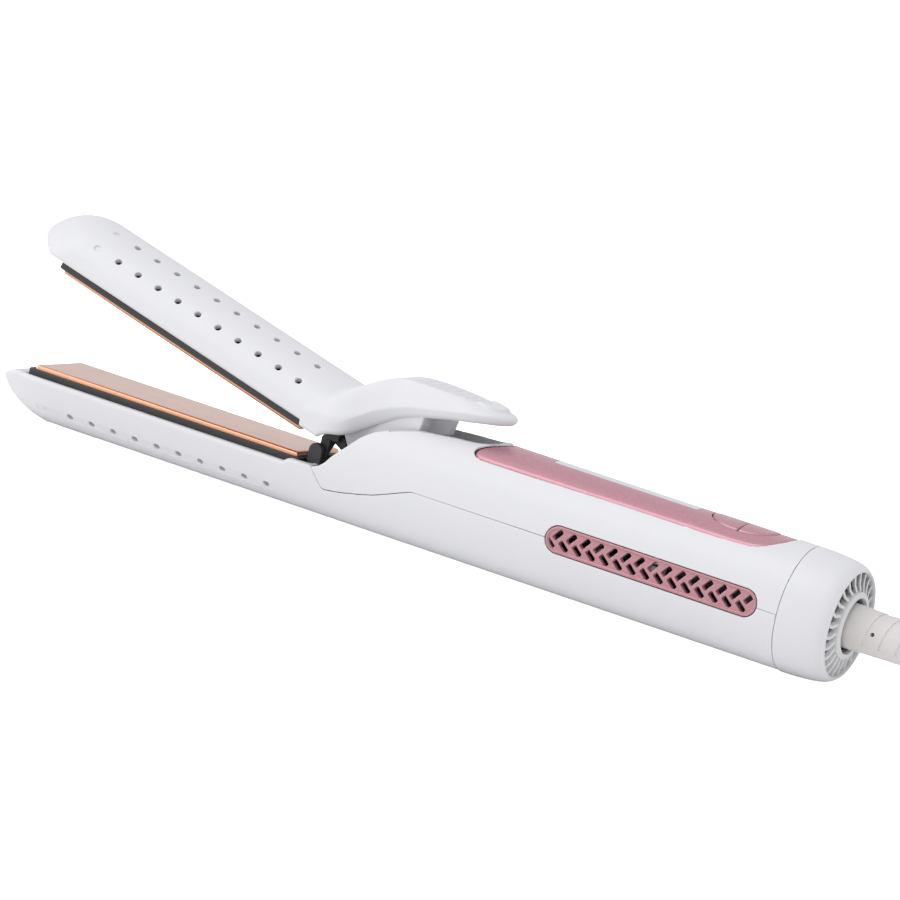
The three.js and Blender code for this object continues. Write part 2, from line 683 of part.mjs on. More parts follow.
// ---- upper arm, drawn closed onto the lower arm -----------------------------------------------------
// The upper arm mirrors the lower arm about the parting plane.
function mirroredAboveParting(body) {
  return body.mirror([0, 0, 1]).translate([0, 0, 2 * PARTING_Z]);
}

// Turns a body drawn in the open position back to the closed position the arm is drawn in.
function fromOpen(body) {
  const degrees = -THREE.MathUtils.radToDeg(OPEN_ANGLE);
  return body.translate([-PIVOT_X, 0, -PIVOT_Z]).rotate([0, degrees, 0]).translate([PIVOT_X, 0, PIVOT_Z]);
}

function leverShape() {
  const shape = new THREE.Shape();
  shape.moveTo(-172, -LEVER_HALF);
  shape.lineTo(-146, -LEVER_HALF);
  shape.quadraticCurveTo(-128, -LEVER_HALF + 0.6, -115.6, -7.6);
  shape.quadraticCurveTo(LEVER_TIP_X, -4.4, LEVER_TIP_X, 0);
  shape.quadraticCurveTo(LEVER_TIP_X, 4.4, -115.6, 7.6);
  shape.quadraticCurveTo(-128, LEVER_HALF - 0.6, -146, LEVER_HALF);
  shape.lineTo(-172, LEVER_HALF);
  return shape;
}

// Flat-topped thumb lever with sloping shoulders, drawn level, and its swept neck down to the arm.
function leverBody() {
  const side = sideways([
    [-171, 18.6], [-166.9, 22.6], [-161.9, 26.2], [-156.5, 28.9], [-150.9, 30.5], [-143, LEVER_TOP_Z],
    [-124, 30.7], [LEVER_TIP_X, 30.1], [LEVER_TIP_X, 26.7], [-119.4, 25.2], [-130.4, 23.5], [-140.1, 21.3],
    [-146, 19.2], [-153, 15.4], [-158, 14], [-171, 17],
  ], -20, 20);
  const section = new THREE.Shape([
    [-LEVER_HALF, 0], [LEVER_HALF, 0], [LEVER_HALF, LEVER_TOP_Z - LEVER_SHOULDER], [LEVER_FLAT_HALF, LEVER_TOP_Z],
    [-LEVER_FLAT_HALF, LEVER_TOP_Z], [-LEVER_HALF, LEVER_TOP_Z - LEVER_SHOULDER],
  ].map(([y, z]) => new THREE.Vector2(y, z)));
  return upright(leverShape(), 0, 40).intersect(side).intersect(lengthwise(section, -180, -100));
}

function cheek() {
  const web = sideways([
    [PIVOT_X - 3.6, PIVOT_Z - 3.2], [PIVOT_X + 3.6, PIVOT_Z - 3.2], [PIVOT_X + 4.6, PIVOT_Z + 2],
    [-150, 20], [-154, 23], [-171, 16], [-171, 11.5], [-160, 9.5],
  ], -CHEEK_OUTER, -CHEEK_INNER);
  return web.add(cylinderY(PIVOT_X, PIVOT_Z, KNUCKLE_RADIUS, -CHEEK_OUTER, -CHEEK_INNER));
}

function upperArmShell() {
  const region = sideways([
    [-310, -40], [-162, -40], [-160, -16], [-166, -12], [-172, LIP_Z], [-283, LIP_Z], [-297, -10], [-310, -12],
  ], -40, 40);
  const rearOpening = box(-173, -150, -40, 40, -14, 10);
  let arm = envelope(0, -150).intersect(region).subtract(armCavity()).subtract(rearOpening);
  arm = mirroredAboveParting(arm.subtract(holeRows(UPPER_HOLES)));
  const lever = fromOpen(leverBody());
  const leftCheek = fromOpen(cheek());
  let shell = union([arm, lever, leftCheek, mirroredInY(leftCheek)]);
  shell = shell.subtract(cylinderY(PIVOT_X, PIVOT_Z, BUSH_RADIUS + GAP / 2, -20, 20));
  return mesh("upper_arm_shell", shell, FINISH.whiteShell);
}

// Fin under the lever that dips into the handle's pocket.
function leverLiner() {
  const fin = sideways([[-143.4, 15.1], [-132.3, 17.4], [-131.5, 22.8], [-142.5, 20]], -FIN_HALF, FIN_HALF);
  return mesh("lever_liner", fromOpen(fin), FINISH.pocketGrey);
}

// Black hook under the upper arm, beside the wiring.
function upperWireGuard() {
  const post = sideways([
    [-171.5, 4], [-168.6, 4], [-167.6, 8.8], [-164.6, 8.8], [-163, 5.6], [-161.4, 6], [-162.4, 10.8], [-171.5, 10.8],
  ], -8.2, -6.2);
  const bridge = box(-171.5, -168, -8.2, 8.2, 9.4, 10.8);
  return mesh("upper_wire_guard", union([post, mirroredInY(post), bridge]), FINISH.blackPlastic);
}

// ---- assembly ---------------------------------------------------------------------------------------
const FLOOR_Z = PARTING_Z - CARRIER_RIM_DROP - CARRIER_DEPTH;

function lowerAndHandleParts() {
  return [
    lowerShell(), upperShell(), rearCap(), intakeGrille(), cordSocket(), cordSwivel(), strainRelief(), powerCord(),
    controlPanel(), displayLens(), buttonHalf("power_button", -60, BUTTON_SPLIT_X - 0.25),
    buttonHalf("mode_button", BUTTON_SPLIT_X + 0.25, 0),
    ventGrille("left_vent_grille", true), ventGrille("right_vent_grille", false),
    controlBoard(), displayModule(), tactSwitch("power_switch", -32), tactSwitch("mode_switch", -18.6), mainBoard(),
    fanHousing(), fanMotor(), fanImpeller(),
    mesh("lower_plate", plateBody(), FINISH.copperPlate), mesh("lower_heater", heaterBody(), FINISH.ceramic),
    mesh("lower_plate_carrier", carrierBody(), FINISH.blackPlastic), lowerWireGuard(),
    plateSpring("lower_spring_front", -259, SPRING_Z), plateSpring("lower_spring_rear", -194, SPRING_Z),
    hingePin(), hingeBush("left_hinge_bush", -11.9, -8.6), hingeBush("right_hinge_bush", 8.6, 11.9), hingeSpring(),
  ];
}

function screws() {
  const headZ = -18.3;
  const shell = SCREW_XS.map((x, i) => screw(`shell_screw_${i + 1}`, x, 0, headZ, 20, 1));
  return [
    ...shell,
    screw("lower_carrier_screw_1", -268, 0, FLOOR_Z + 1.4 + 2.1, 6.4, -1),
    screw("lower_carrier_screw_2", -186, 0, FLOOR_Z + 1.4 + 2.1, 6.4, -1),
  ];
}

function upperArmParts() {
  const spring = (name, x) => {
    const part = plateSpring(name, x, SPRING_Z);
    part.scale.z = -1;
    part.position.z = 2 * PARTING_Z;
    return part;
  };
  return [
    upperArmShell(), leverLiner(), upperWireGuard(),
    mesh("upper_plate", mirroredAboveParting(plateBody()), FINISH.copperPlate),
    mesh("upper_heater", mirroredAboveParting(heaterBody()), FINISH.ceramic),
    mesh("upper_plate_carrier", mirroredAboveParting(carrierBody()), FINISH.blackPlastic),
    spring("upper_spring_front", -259), spring("upper_spring_rear", -194),
    screw("upper_carrier_screw_1", -268, 0, 2 * PARTING_Z - FLOOR_Z - 3.5, 6.4, 1),
    screw("upper_carrier_screw_2", -186, 0, 2 * PARTING_Z - FLOOR_Z - 3.5, 6.4, 1),
  ];
}

const closedUpperArm = new THREE.Group();
closedUpperArm.position.set(-PIVOT_X, 0, -PIVOT_Z);
closedUpperArm.add(...upperArmParts());

const upperArm = new THREE.Group();
upperArm.position.set(PIVOT_X, 0, PIVOT_Z);
upperArm.rotation.y = OPEN_ANGLE;
upperArm.add(closedUpperArm);

const flatIron = new THREE.Group();
flatIron.position.set(SEAM_FROM_ORIGIN, 0, AXIS_HEIGHT);
flatIron.add(...lowerAndHandleParts(), ...screws(), upperArm);

export default flatIron;
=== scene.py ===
"""Looks of the flat iron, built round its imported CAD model.

Shapes are signed distance functions in the iron's own millimetres: x runs along the handle axis with 0 at
the seam of the rear cap and the noses at negative x, y is across, and z is up from the handle axis. place()
turns those into the row frame. A function is negative inside its solid.
"""

import json
import math

import bpy
import numpy as np
from mathutils import Matrix, Vector


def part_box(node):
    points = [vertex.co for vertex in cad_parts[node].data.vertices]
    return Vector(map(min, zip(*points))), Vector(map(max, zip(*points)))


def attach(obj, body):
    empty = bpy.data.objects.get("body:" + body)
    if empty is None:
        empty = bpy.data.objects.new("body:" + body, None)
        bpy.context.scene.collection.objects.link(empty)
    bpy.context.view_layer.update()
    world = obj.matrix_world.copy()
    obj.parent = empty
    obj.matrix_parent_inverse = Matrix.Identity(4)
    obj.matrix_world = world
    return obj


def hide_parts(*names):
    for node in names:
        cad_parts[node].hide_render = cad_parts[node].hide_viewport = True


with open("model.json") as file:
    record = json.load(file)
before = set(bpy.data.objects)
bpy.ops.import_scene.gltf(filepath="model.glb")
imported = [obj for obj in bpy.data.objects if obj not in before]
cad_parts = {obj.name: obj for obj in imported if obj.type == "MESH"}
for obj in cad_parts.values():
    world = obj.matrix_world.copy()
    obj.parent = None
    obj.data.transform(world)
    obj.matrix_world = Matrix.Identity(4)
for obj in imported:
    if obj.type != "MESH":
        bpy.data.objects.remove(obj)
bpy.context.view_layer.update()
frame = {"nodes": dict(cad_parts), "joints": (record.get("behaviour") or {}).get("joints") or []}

MM = 0.001
JOINTS = {j["name"]: j for j in frame["joints"]}
ORIGIN = Vector((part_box("upper_shell")[1].x + 0.15 * MM, 0, JOINTS["cord_spin"]["pos_m"][2]))
FINE = 1.0

# driving dimensions, mm
REAR_RADIUS = 20.7
ARM_RADIUS = 21.0
TAPER_END = -150.0
WALL = 2.4
TIP = -296.0
NOSE = 27.0
NOSE_POWER = 2 / 0.85
LIP_THICKNESS = 2.2
MOUTH_FRONT, MOUTH_REAR, MOUTH_HALF = -279.8, -171.0, 16.5
LOWER_LIP = -4.4
UPPER_LIP = 3.3
LIP_STEP_X, LIP_STEP = -176.9, 1.8
NOSE_LIP_RISE = 5.6
LAND_Z, LAND_FRONT = -19.6, -255.0
UPPER_AXIS = -1.8
HINGE_BAY = (-166.5, 8.5, 12.8)
GUARD_BAY = (-171.5, 6.5, 15.4)
GAP_SHADE_BOTTOM = 1.5
HOLE_RADIUS, HOLE_COUNT = 1.15, 10
LOWER_HOLES, LOWER_PITCH, LOWER_ANGLES = -260.9, 8.42, (44.0, 73.0)
UPPER_HOLES, UPPER_PITCH, UPPER_ANGLES = -261.6, 8.5, (45.3, 73.0)
PIVOT_X = (JOINTS["arm_hinge"]["pos_m"][0] - ORIGIN.x) / MM
PIVOT_Z = (JOINTS["arm_hinge"]["pos_m"][2] - ORIGIN.z) / MM
OPEN = math.atan2(*JOINTS["upper_plate_float"]["axis"][0::2])
SPLIT = -0.5
SEAM_GAP = 0.045
EAR_GAP = 0.12
CAP_GAP = 0.08


# ---------------------------------------------------------------- distance functions

def length(*parts):
    """The length of a vector from its parts."""
    return np.sqrt(sum(p * p for p in parts))


def both(a, b, r=0.0):
    """Where two solids overlap, with an edge of radius r."""
    if np.isscalar(r) and r == 0:
        return np.maximum(a, b)
    corner = length(np.maximum(a + r, 0), np.maximum(b + r, 0))
    return np.minimum(-r, np.maximum(a, b)) + corner


def either(a, b, r=0.0):
    """Two solids joined, with a fillet of radius r."""
    return -both(-a, -b, r)


def minus(a, b, r=0.0):
    """The first solid with the second cut out of it, with an edge of radius r."""
    return both(a, -b, r)


class Profile:
    """A smooth height over x, through knots, with its slope."""

    def __init__(self, knots, smooth=1.0):
        x, h = np.array(knots, float).T
        self.x = np.arange(x[0] - 30, x[-1] + 30, 0.1)
        dense = np.interp(self.x, x, h)
        if smooth:
            half = int(3 * smooth / 0.1)
            kernel = np.exp(-0.5 * (np.arange(-half, half + 1) * 0.1 / smooth) ** 2)
            padded = np.pad(dense, half, mode="edge")
            dense = np.convolve(padded, kernel / kernel.sum(), mode="valid")
        self.h = dense
        self.scale = 1 / np.sqrt(1 + np.gradient(dense, 0.1) ** 2)

    def over(self, x, z):
        """Distance above the line, negative below it."""
        return (z - np.interp(x, self.x, self.h)) * np.interp(x, self.x, self.scale)

    def __call__(self, x):
        return np.interp(x, self.x, self.h)


class Outline:
    """Distance from a closed outline in a plane, negative inside, read from a grid of distances."""

    def __init__(self, points, cell=0.25, margin=8.0):
        p = np.array(points, float)
        self.lo = p.min(0) - margin
        self.cell = cell
        n = np.ceil((p.max(0) + margin - self.lo) / cell).astype(int) + 1
        a = self.lo[0] + np.arange(n[0]) * cell
        b = self.lo[1] + np.arange(n[1]) * cell
        a, b = np.meshgrid(a, b, indexing="ij")
        best = np.full(a.shape, 1e9)
        inside = np.zeros(a.shape, bool)
        for (x0, y0), (x1, y1) in zip(p, np.roll(p, -1, 0)):
            ex, ey = x1 - x0, y1 - y0
            t = np.clip(((a - x0) * ex + (b - y0) * ey) / max(ex * ex + ey * ey, 1e-12), 0, 1)
            best = np.minimum(best, (a - x0 - t * ex) ** 2 + (b - y0 - t * ey) ** 2)
            crosses = (y0 > b) != (y1 > b)
            with np.errstate(divide="ignore", invalid="ignore"):
                inside ^= crosses & (a < x0 + (b - y0) * ex / ey)
        self.table = np.sqrt(best) * np.where(inside, -1, 1)

    def __call__(self, a, b):
        u = np.clip((a - self.lo[0]) / self.cell, 0, self.table.shape[0] - 1.001)
        v = np.clip((b - self.lo[1]) / self.cell, 0, self.table.shape[1] - 1.001)
        i, j = u.astype(int), v.astype(int)
        u, v = u - i, v - j
        t = self.table
        low = t[i, j] * (1 - u) + t[i + 1, j] * u
        high = t[i, j + 1] * (1 - u) + t[i + 1, j + 1] * u
        return low * (1 - v) + high * v


def smooth_line(points, steps=8):
    """A Catmull-Rom curve through points, ends included."""
    p = [np.array(q, float) for q in points]
    p = [2 * p[0] - p[1]] + p + [2 * p[-1] - p[-2]]
    out = []
    for a, b, c, d in zip(p, p[1:], p[2:], p[3:]):
        for k in range(steps):
            t = k / steps
            square, cube = 2 * a - 5 * b + 4 * c - d, 3 * b - a - 3 * c + d
            out.append(0.5 * (2 * b + (c - a) * t + square * t**2 + cube * t**3))
    return out + [p[-2]]


def mirrored(half):
    """A closed outline from its y >= 0 half, given front to rear."""
    return list(half) + [(x, -y) for x, y in reversed(list(half))]


def rounded_box(a, b, half_a, half_b, r):
    """A rectangle about the origin of a plane, with corners of radius r."""
    u, v = np.abs(a) - half_a + r, np.abs(b) - half_b + r
    return length(np.maximum(u, 0), np.maximum(v, 0)) + np.minimum(np.maximum(u, v), 0) - r


def pill(x, z, x0, x1, zc, half):
    """A slot with round ends, from x0 to x1 at height zc."""
    return length(x - np.clip(x, x0 + half, x1 - half), z - zc) - half


def turn(a, b, angle):
    """Two coordinates turned by an angle in radians."""
    c, s = math.cos(angle), math.sin(angle)
    return a * c + b * s, b * c - a * s


# ---------------------------------------------------------------- from distance function to mesh

BLOCK = 8


def unit(v):
    """Rows scaled to length one."""
    return v / np.maximum(np.linalg.norm(v, axis=1, keepdims=True), 1e-12)


def gradient(field, p, h=0.03):
    """The slope of a field at points, by central differences."""
    x, y, z = p.T
    return np.stack([field(x + h, y, z) - field(x - h, y, z),
                     field(x, y + h, z) - field(x, y - h, z),
                     field(x, y, z + h) - field(x, y, z - h)], 1) / (2 * h)


def sample(field, lo, hi, cell):
    """The field on a grid, worked out only in the blocks its surface can pass through."""
    lo = np.array(lo, float)
    blocks = np.ceil((np.array(hi, float) - lo) / (cell * BLOCK)).astype(int)
    origin = np.stack(np.meshgrid(*[np.arange(b) for b in blocks], indexing="ij"), -1).reshape(-1, 3)
    size = cell * BLOCK
    middle = field(*(lo + (origin + 0.5) * size).T)
    values = np.where(middle.reshape(blocks) < 0, -1.0, 1.0)
    for axis in range(3):
        values = np.repeat(values, BLOCK, axis)
    values = np.pad(values, [(0, 1)] * 3, mode="edge")
    near = origin[np.abs(middle) < size * 1.5]
    step = np.stack(np.meshgrid(*[np.arange(BLOCK + 1)] * 3, indexing="ij"), -1).reshape(-1, 3)
    for start in range(0, len(near), 400):
        index = (near[start:start + 400, None] * BLOCK + step).reshape(-1, 3)
        values[tuple(index.T)] = field(*(lo + index * cell).T)
    return values, lo


def dual_surface(field, lo, hi, cell):
    """Quads whose corners sit where the field's surface is, with its edges kept."""
    values, lo = sample(field, lo, hi, cell)
    inside = values < 0
    shape = values.shape
    owners, points, quads = [], [], []
    for axis in range(3):
        u, v = (axis + 1) % 3, (axis + 2) % 3
        low = [slice(None)] * 3
        high = [slice(None)] * 3
        low[axis], high[axis] = slice(None, -1), slice(1, None)
        at = np.argwhere(inside[tuple(low)] != inside[tuple(high)])
        at = at[(at[:, u] > 0) & (at[:, v] > 0)]
        above = at.copy()
        above[:, axis] += 1
        f0, f1 = values[tuple(at.T)], values[tuple(above.T)]
        point = at.astype(float)
        point[:, axis] += f0 / (f0 - f1)
        cells = []
        for du, dv in ((0, 0), (1, 0), (1, 1), (0, 1)):
            c = at.copy()
            c[:, u] -= du
            c[:, v] -= dv
            cells.append(np.ravel_multi_index(c.T, shape))
        cells = np.stack(cells, 1)
        quads.append(np.where((f0 < 0)[:, None], cells, cells[:, ::-1]))
        owners.append(cells)
        points.append(lo + point * cell)
    owners, points, quads = np.concatenate(owners), np.concatenate(points), np.concatenate(quads)
    normals = unit(gradient(field, points))
    ids, owner = np.unique(owners.ravel(), return_inverse=True)
    owner = owner.ravel()
    points4, normals4 = np.repeat(points, 4, 0), np.repeat(normals, 4, 0)

    def total(w):
        return np.bincount(owner, w, len(ids))

    count = total(np.ones(len(owner)))
    mean = np.stack([total(points4[:, k]) for k in range(3)], 1) / count[:, None]
    reach = np.einsum("ij,ij->i", normals4, points4 - mean[owner])
    a = np.zeros((len(ids), 3, 3))
    b = np.zeros((len(ids), 3))
    for i in range(3):
        b[:, i] = total(normals4[:, i] * reach)
        for j in range(i, 3):
            a[:, i, j] = a[:, j, i] = total(normals4[:, i] * normals4[:, j])
    a += np.eye(3) * 0.06
    shift = np.linalg.solve(a, b[:, :, None])[:, :, 0]
    far = np.linalg.norm(shift, axis=1, keepdims=True)
    shift *= np.minimum(1, 0.75 * cell / np.maximum(far, 1e-9))
    return mean + shift, np.searchsorted(ids, quads)


def place(points):
    """Points in the iron's millimetres as metres in the row frame."""
    return points * MM + np.array(ORIGIN)


def build_mesh(name, verts, faces):
    """A mesh object from points in millimetres and an array of equal-sided faces."""
    mesh = bpy.data.meshes.new(name)
    mesh.vertices.add(len(verts))
    mesh.vertices.foreach_set("co", place(np.asarray(verts, float)).ravel())
    sides = faces.shape[1]
    mesh.loops.add(faces.size)
    mesh.loops.foreach_set("vertex_index", faces.astype(np.int32).ravel())
    mesh.polygons.add(len(faces))
    mesh.polygons.foreach_set("loop_start", np.arange(0, faces.size, sides, dtype=np.int32))
    mesh.update(calc_edges=True)
    mesh.validate()
    obj = bpy.data.objects.new(name, mesh)
    bpy.context.scene.collection.objects.link(obj)
    return obj


def thin_out(obj, ratio):
    """Fewer faces, keeping the shape."""
    modifier = obj.modifiers.new("thin", "DECIMATE")
    modifier.ratio = ratio
    done = bpy.data.meshes.new_from_object(obj.evaluated_get(bpy.context.evaluated_depsgraph_get()))
    obj.modifiers.clear()
    obj.data = done


def shade(obj, field):
    """Corner normals from the field, so that curves are smooth and edges stay crisp."""
    mesh = obj.data
    mesh.shade_smooth()
    n = len(mesh.vertices)
    co = np.empty(n * 3)
    mesh.vertices.foreach_get("co", co)
    co = (co.reshape(-1, 3) - np.array(ORIGIN)) / MM
    corner = np.empty(len(mesh.loops), np.int32)
    mesh.loops.foreach_get("vertex_index", corner)
    start = np.empty(len(mesh.polygons), np.int32)
    mesh.polygons.foreach_get("loop_start", start)
    sides = np.diff(np.append(start, len(corner)))
    face = np.repeat(np.arange(len(start)), sides)
    flat = np.empty(len(start) * 3)
    mesh.polygons.foreach_get("normal", flat)
    flat = flat.reshape(-1, 3)[face]
    middle = np.stack([np.bincount(face, co[corner, k]) for k in range(3)], 1) / sides[:, None]
    normals = unit(gradient(field, co))[corner]
    odd = np.einsum("ij,ij->i", normals, flat) < 0.93
    if odd.any():
        nearer = co[corner[odd]] * 0.6 + middle[face[odd]] * 0.4
        again = unit(gradient(field, nearer))
        bad = np.einsum("ij,ij->i", again, flat[odd]) < 0.5
        again[bad] = flat[odd][bad]
        normals[odd] = again
    mesh.normals_split_custom_set(normals.tolist())


def carve(name, field, lo, hi, cell, keep=0.5):
    """The piece a distance function describes, between two corners of a box."""
    verts, quads = dual_surface(field, lo, hi, cell * FINE)
    obj = build_mesh(name, verts, quads)
    if keep < 1:
        thin_out(obj, keep)
    shade(obj, field)
    return obj


# ---------------------------------------------------------------- the iron's outside

def envelope(x, y, z, inset=0.0):
    """The body of revolution the handle and the closed arms share, drawn in by inset."""
    rho = length(y, z)
    radius = REAR_RADIUS + (ARM_RADIUS - REAR_RADIUS) * np.clip(x / TAPER_END, 0, 1) - inset
    nose_start = TIP + NOSE
    u = np.maximum(nose_start - x, 0) / (NOSE - inset)
    v = np.maximum(rho, 1e-6) / radius
    g = v**NOSE_POWER + u * u - 1
    steep = length(NOSE_POWER * v ** (NOSE_POWER - 1) / radius, 2 * u / (NOSE - inset))
    curved = np.clip(g / np.maximum(steep, 0.03), -20, 40)
    return np.where(x < nose_start, curved, rho - radius)


def to_arm(x, z):
    """From the open arm's place to where the arm is when it is closed."""
    dx, dz = turn(x - PIVOT_X, z - PIVOT_Z, -OPEN)
    return dx + PIVOT_X, dz + PIVOT_Z


def arm_point(x, z):
    """From a point on the closed arm to where it is on the open arm."""
    dx, dz = turn(x - PIVOT_X, z - PIVOT_Z, OPEN)
    return dx + PIVOT_X, dz + PIVOT_Z


def air_holes(x, y, z, first, pitch, degrees, skin):
    """A row of ten holes and, one step ahead of it, a blind dimple, at an angle from the horizontal."""
    c, s = math.cos(math.radians(degrees)), math.sin(math.radians(degrees))
    along, across = np.abs(y) * c + z * s, np.abs(y) * s - z * c
    k = np.clip(np.round((x - first) / pitch), 0, HOLE_COUNT - 1)
    holes = np.maximum(length(x - first - k * pitch, across) - HOLE_RADIUS, -along)
    dimple = np.maximum(length(x - first + 1.06 * pitch, across) - HOLE_RADIUS, -along)
    return holes, np.maximum(dimple, -0.55 - skin), along, across


# the edges of the two shells, from the noses to the rear cap
LOWER_EDGE = Profile([
    (-300, -11.3), (-297, -10), (-284, -4.4), (-179, LOWER_LIP), (-177.2, -2.9), (-168.4, -2.9), (-163.6, -9.2),
    (-162, -9.2), (-157, -8.5), (-150, -7), (-144.3, -5.5), (-137, -2.7), (-131.3, SPLIT), (0, SPLIT)], 0.45)
EAR_RIM = Profile([
    (-170, -4.5), (-167.8, -2.93), (-166, -2.26), (-164.4, -1.1), (-163.3, 0.25), (-161.8, 2.4), (-158.5, 6.03),
    (-154.8, 10.65), (-150.9, 13.73), (-145.4, 15.99), (-137.9, 17.75), (-126, 19.8), (-115, 21), (-105, 23),
    (0, 23)], 0.5)
# the pocket under the lever, and what is set into the handle's top
POCKET_FLOOR = Profile([(-150, 11), (-143, 12.5), (-134, 12.9), (-126, 13.6), (-119, 15.8), (-111, 20.2)], 2.0)
POCKET = Outline(mirrored(smooth_line([
    (-166, 18), (-156, 17.2), (-150.9, 15.9), (-145.4, 13.57), (-137.9, 11.07), (-131, 9.9), (-125.3, 8.9),
    (-118.5, 7.9), (-114.3, 5.6), (-112.7, 3), (-112.3, 0)])))
PANEL = Outline(mirrored(
    smooth_line([(-110.2, 0), (-111.2, 2.4), (-113.15, 4.9), (-116.4, 8.7), (-117.4, 10.6), (-117.2, 12.3),
                 (-116.1, 13.4), (-114.4, 13.98), (-109.8, 14.15)])
    + smooth_line([(-70.2, 13.8), (-34.5, 13.5), (-27.4, 13.44), (-17.9, 12.9), (-13.2, 11.3), (-9, 7.2),
                   (-7.2, 3), (-6.9, 0)])))
PANEL_SINK = 0.35
PANEL_THICKNESS = 1.3
GROOVE = 0.42
LINER = 0.7
WINDOW = (-93.5, -41.5, 3.3)
OVAL = (-25.1, 11.5, 8.1, -24.7)


def oval(x, y):
    """The plan of the oval that the two buttons share."""
    centre, a, b, _ = OVAL
    u = np.abs(x - centre) / a
    v = np.abs(y) / b
    g = (u**2.3 + v**2.3) ** (1 / 2.3)
    return (g - 1) * b * 0.9


VENT = (-82.2, -7.2, -0.1, 4.35)
VENT_DEPTH = 1.7
SLOT_PITCH = 4.863
SLOT_COUNT = 14


def vent_pill(x, z, grow=0.0):
    """The side view of a vent, grown all round."""
    x0, x1, zc, half = VENT
    return pill(x, z, x0 - grow, x1 + grow, zc, half + grow)


def vent_opening(x, y, z):
    """The openings in both sides of the handle for the vents."""
    return np.maximum(vent_pill(x, z, 0.3), 12 - np.abs(y))


def vent_gap_shade(x, y, z, side):
    """A dark ring of painted shadow in the gap between a vent insert and the shells."""
    ring = np.maximum(vent_pill(x, z, 0.24), -vent_pill(x, z, 0.05))
    skin = envelope(x, y, z)
    return np.maximum.reduce([ring, skin + 0.35, -(skin + GAP_SHADE_BOTTOM), side * y + 5])


SCREWS = (-128.0, -101.0, -48.0)


def screw_post(x, y):
    """Distance from the nearest of the screws under the handle."""
    return np.minimum.reduce([length(x - s, y) for s in SCREWS])


def lower_shell(x, y, z):
    """The white underside from the lower nose to the cap, with its rows of air holes."""
    skin = envelope(x, y, z)
    top = LOWER_EDGE.over(x, z + np.interp(x, [-169, -168, -133, -129], [0, EAR_GAP, EAR_GAP, SEAM_GAP]))
    mouth = rounded_box(x - (MOUTH_FRONT + MOUTH_REAR) / 2, y, (MOUTH_REAR - MOUTH_FRONT) / 2, MOUTH_HALF, 1.5)
    wall = np.maximum(skin, -envelope(x, y, z, WALL))
    ledge = np.maximum.reduce([skin, -(top + LIP_THICKNESS), -mouth, x + 169])
    post = np.maximum.reduce([screw_post(x, y) - 4, skin, z + 9])
    body = np.minimum(np.minimum(wall, ledge), post)
    body = both(body, top, np.interp(x, [-178, -166], [1.5, 0.12]))
    body = both(body, x + CAP_GAP, 0.12)
    for degrees in LOWER_ANGLES:
        holes, dimple, along, across = air_holes(x, y, -z, LOWER_HOLES, LOWER_PITCH, degrees, skin)
        groove = length(x - np.clip(x, -272.6, -183.6), across) - 1.5
        groove = np.maximum(both(groove, -0.3 - skin, 0.2), -along)
        body = minus(minus(minus(body, groove, 0.3), holes, 0.25), dimple, 0.3)
    body = minus(body, vent_opening(x, y, z), 0.2)
    body = minus(body, np.maximum(z - LAND_Z, LAND_FRONT - x), 0.2)
    hinge_bay = np.maximum(rounded_box(x - HINGE_BAY[0], y, *HINGE_BAY[1:], 1.0), -13 - z)
    body = minus(body, hinge_bay, 0.3)
    return minus(body, np.maximum(screw_post(x, y) - 2.4, z + 16.8), 0.3)


def pocket_void(x, y, z):
    """The hollow in the handle that the lever dips into."""
    return both(POCKET(x, y), POCKET_FLOOR(x) - z, 3.0)


def upper_shell(x, y, z):
    """The handle's upper half, open at the pocket, the panel, the buttons and the vents."""
    skin = envelope(x, y, z)
    wall = np.maximum(skin, -envelope(x, y, z, WALL))
    void = pocket_void(x, y, z)
    backing = np.maximum.reduce([skin, void - LINER - 1.2, -146.5 - x])
    lined = np.maximum(void - LINER, -147 - x)
    body = minus(np.minimum(wall, backing), np.minimum(void, lined), 0.15)
    lift = np.interp(x, [-133, -129], [EAR_GAP, SEAM_GAP])
    body = both(body, -LOWER_EDGE.over(x, z - lift), 0.12)
    body = both(body, EAR_RIM.over(x, z), 0.45)
    body = both(body, x + CAP_GAP, 0.12)
    recess = np.maximum(PANEL(x, y), np.maximum(-PANEL_SINK - PANEL_THICKNESS - 0.1 - skin, 5 - z))
    body = minus(body, recess, 0.2)
    body = minus(body, np.maximum(oval(x, y) - 0.5, 10 - z), 0.2)
    return minus(body, vent_opening(x, y, z), 0.2)


def pocket_shade_liner(x, y, z):
    """A grey sheet lining the pocket under the lever; its grey is partly the moulding's own and partly the
    pocket's shade, painted in.
    """
    void = pocket_void(x, y, z)
    shell = both(-void, void - LINER + 0.04, 0.1)
    return both(shell, np.maximum(envelope(x, y, z) + 0.12, -146.9 - x), 0.15)


# upper arm, drawn open; the lever's flat top rolls over towards its plan outline
LEVER_TOP = Profile([
    (-200, 0), (-178, 11), (-172, 17.6), (-167.3, 21.7), (-162.7, 25.2), (-159, 27.6), (-155.9, 29.5),
    (-152.7, 31.0), (-147.4, 31.9), (-140.5, 32.0), (-133.4, 31.8), (-126.4, 31.4), (-117, 30.6),
    (-108, 29.7)], 0.8)
RIDGE = Profile([
    (-200, 8), (-175, 10.5), (-170, 11.3), (-164.1, 12.6), (-161.7, 14.2), (-159.4, 16.1), (-157.1, 17.9),
    (-154.6, 19.6), (-149, 22.2), (-142.7, 24.2), (-136.3, 25.3), (-127, 27.0), (-116.8, 28.7),
    (-108, 29.2)], 0.8)
ROLL_WIDTH, ROLL_POWER = 4.6, 1.4
BAND_TUCK = 0.45
RIM = Profile([
    (-176, -14), (-171.5, 5), (-170.2, 6.6), (-167.3, 8.1), (-163.2, 8.6), (-159, 10.4), (-153.2, 14.7),
    (-145.9, 19.3), (-140.1, 21.3), (-130.4, 23.5), (-119.4, 25.2), (-108, 26.8)], 0.8)
ARM_HALF = 19
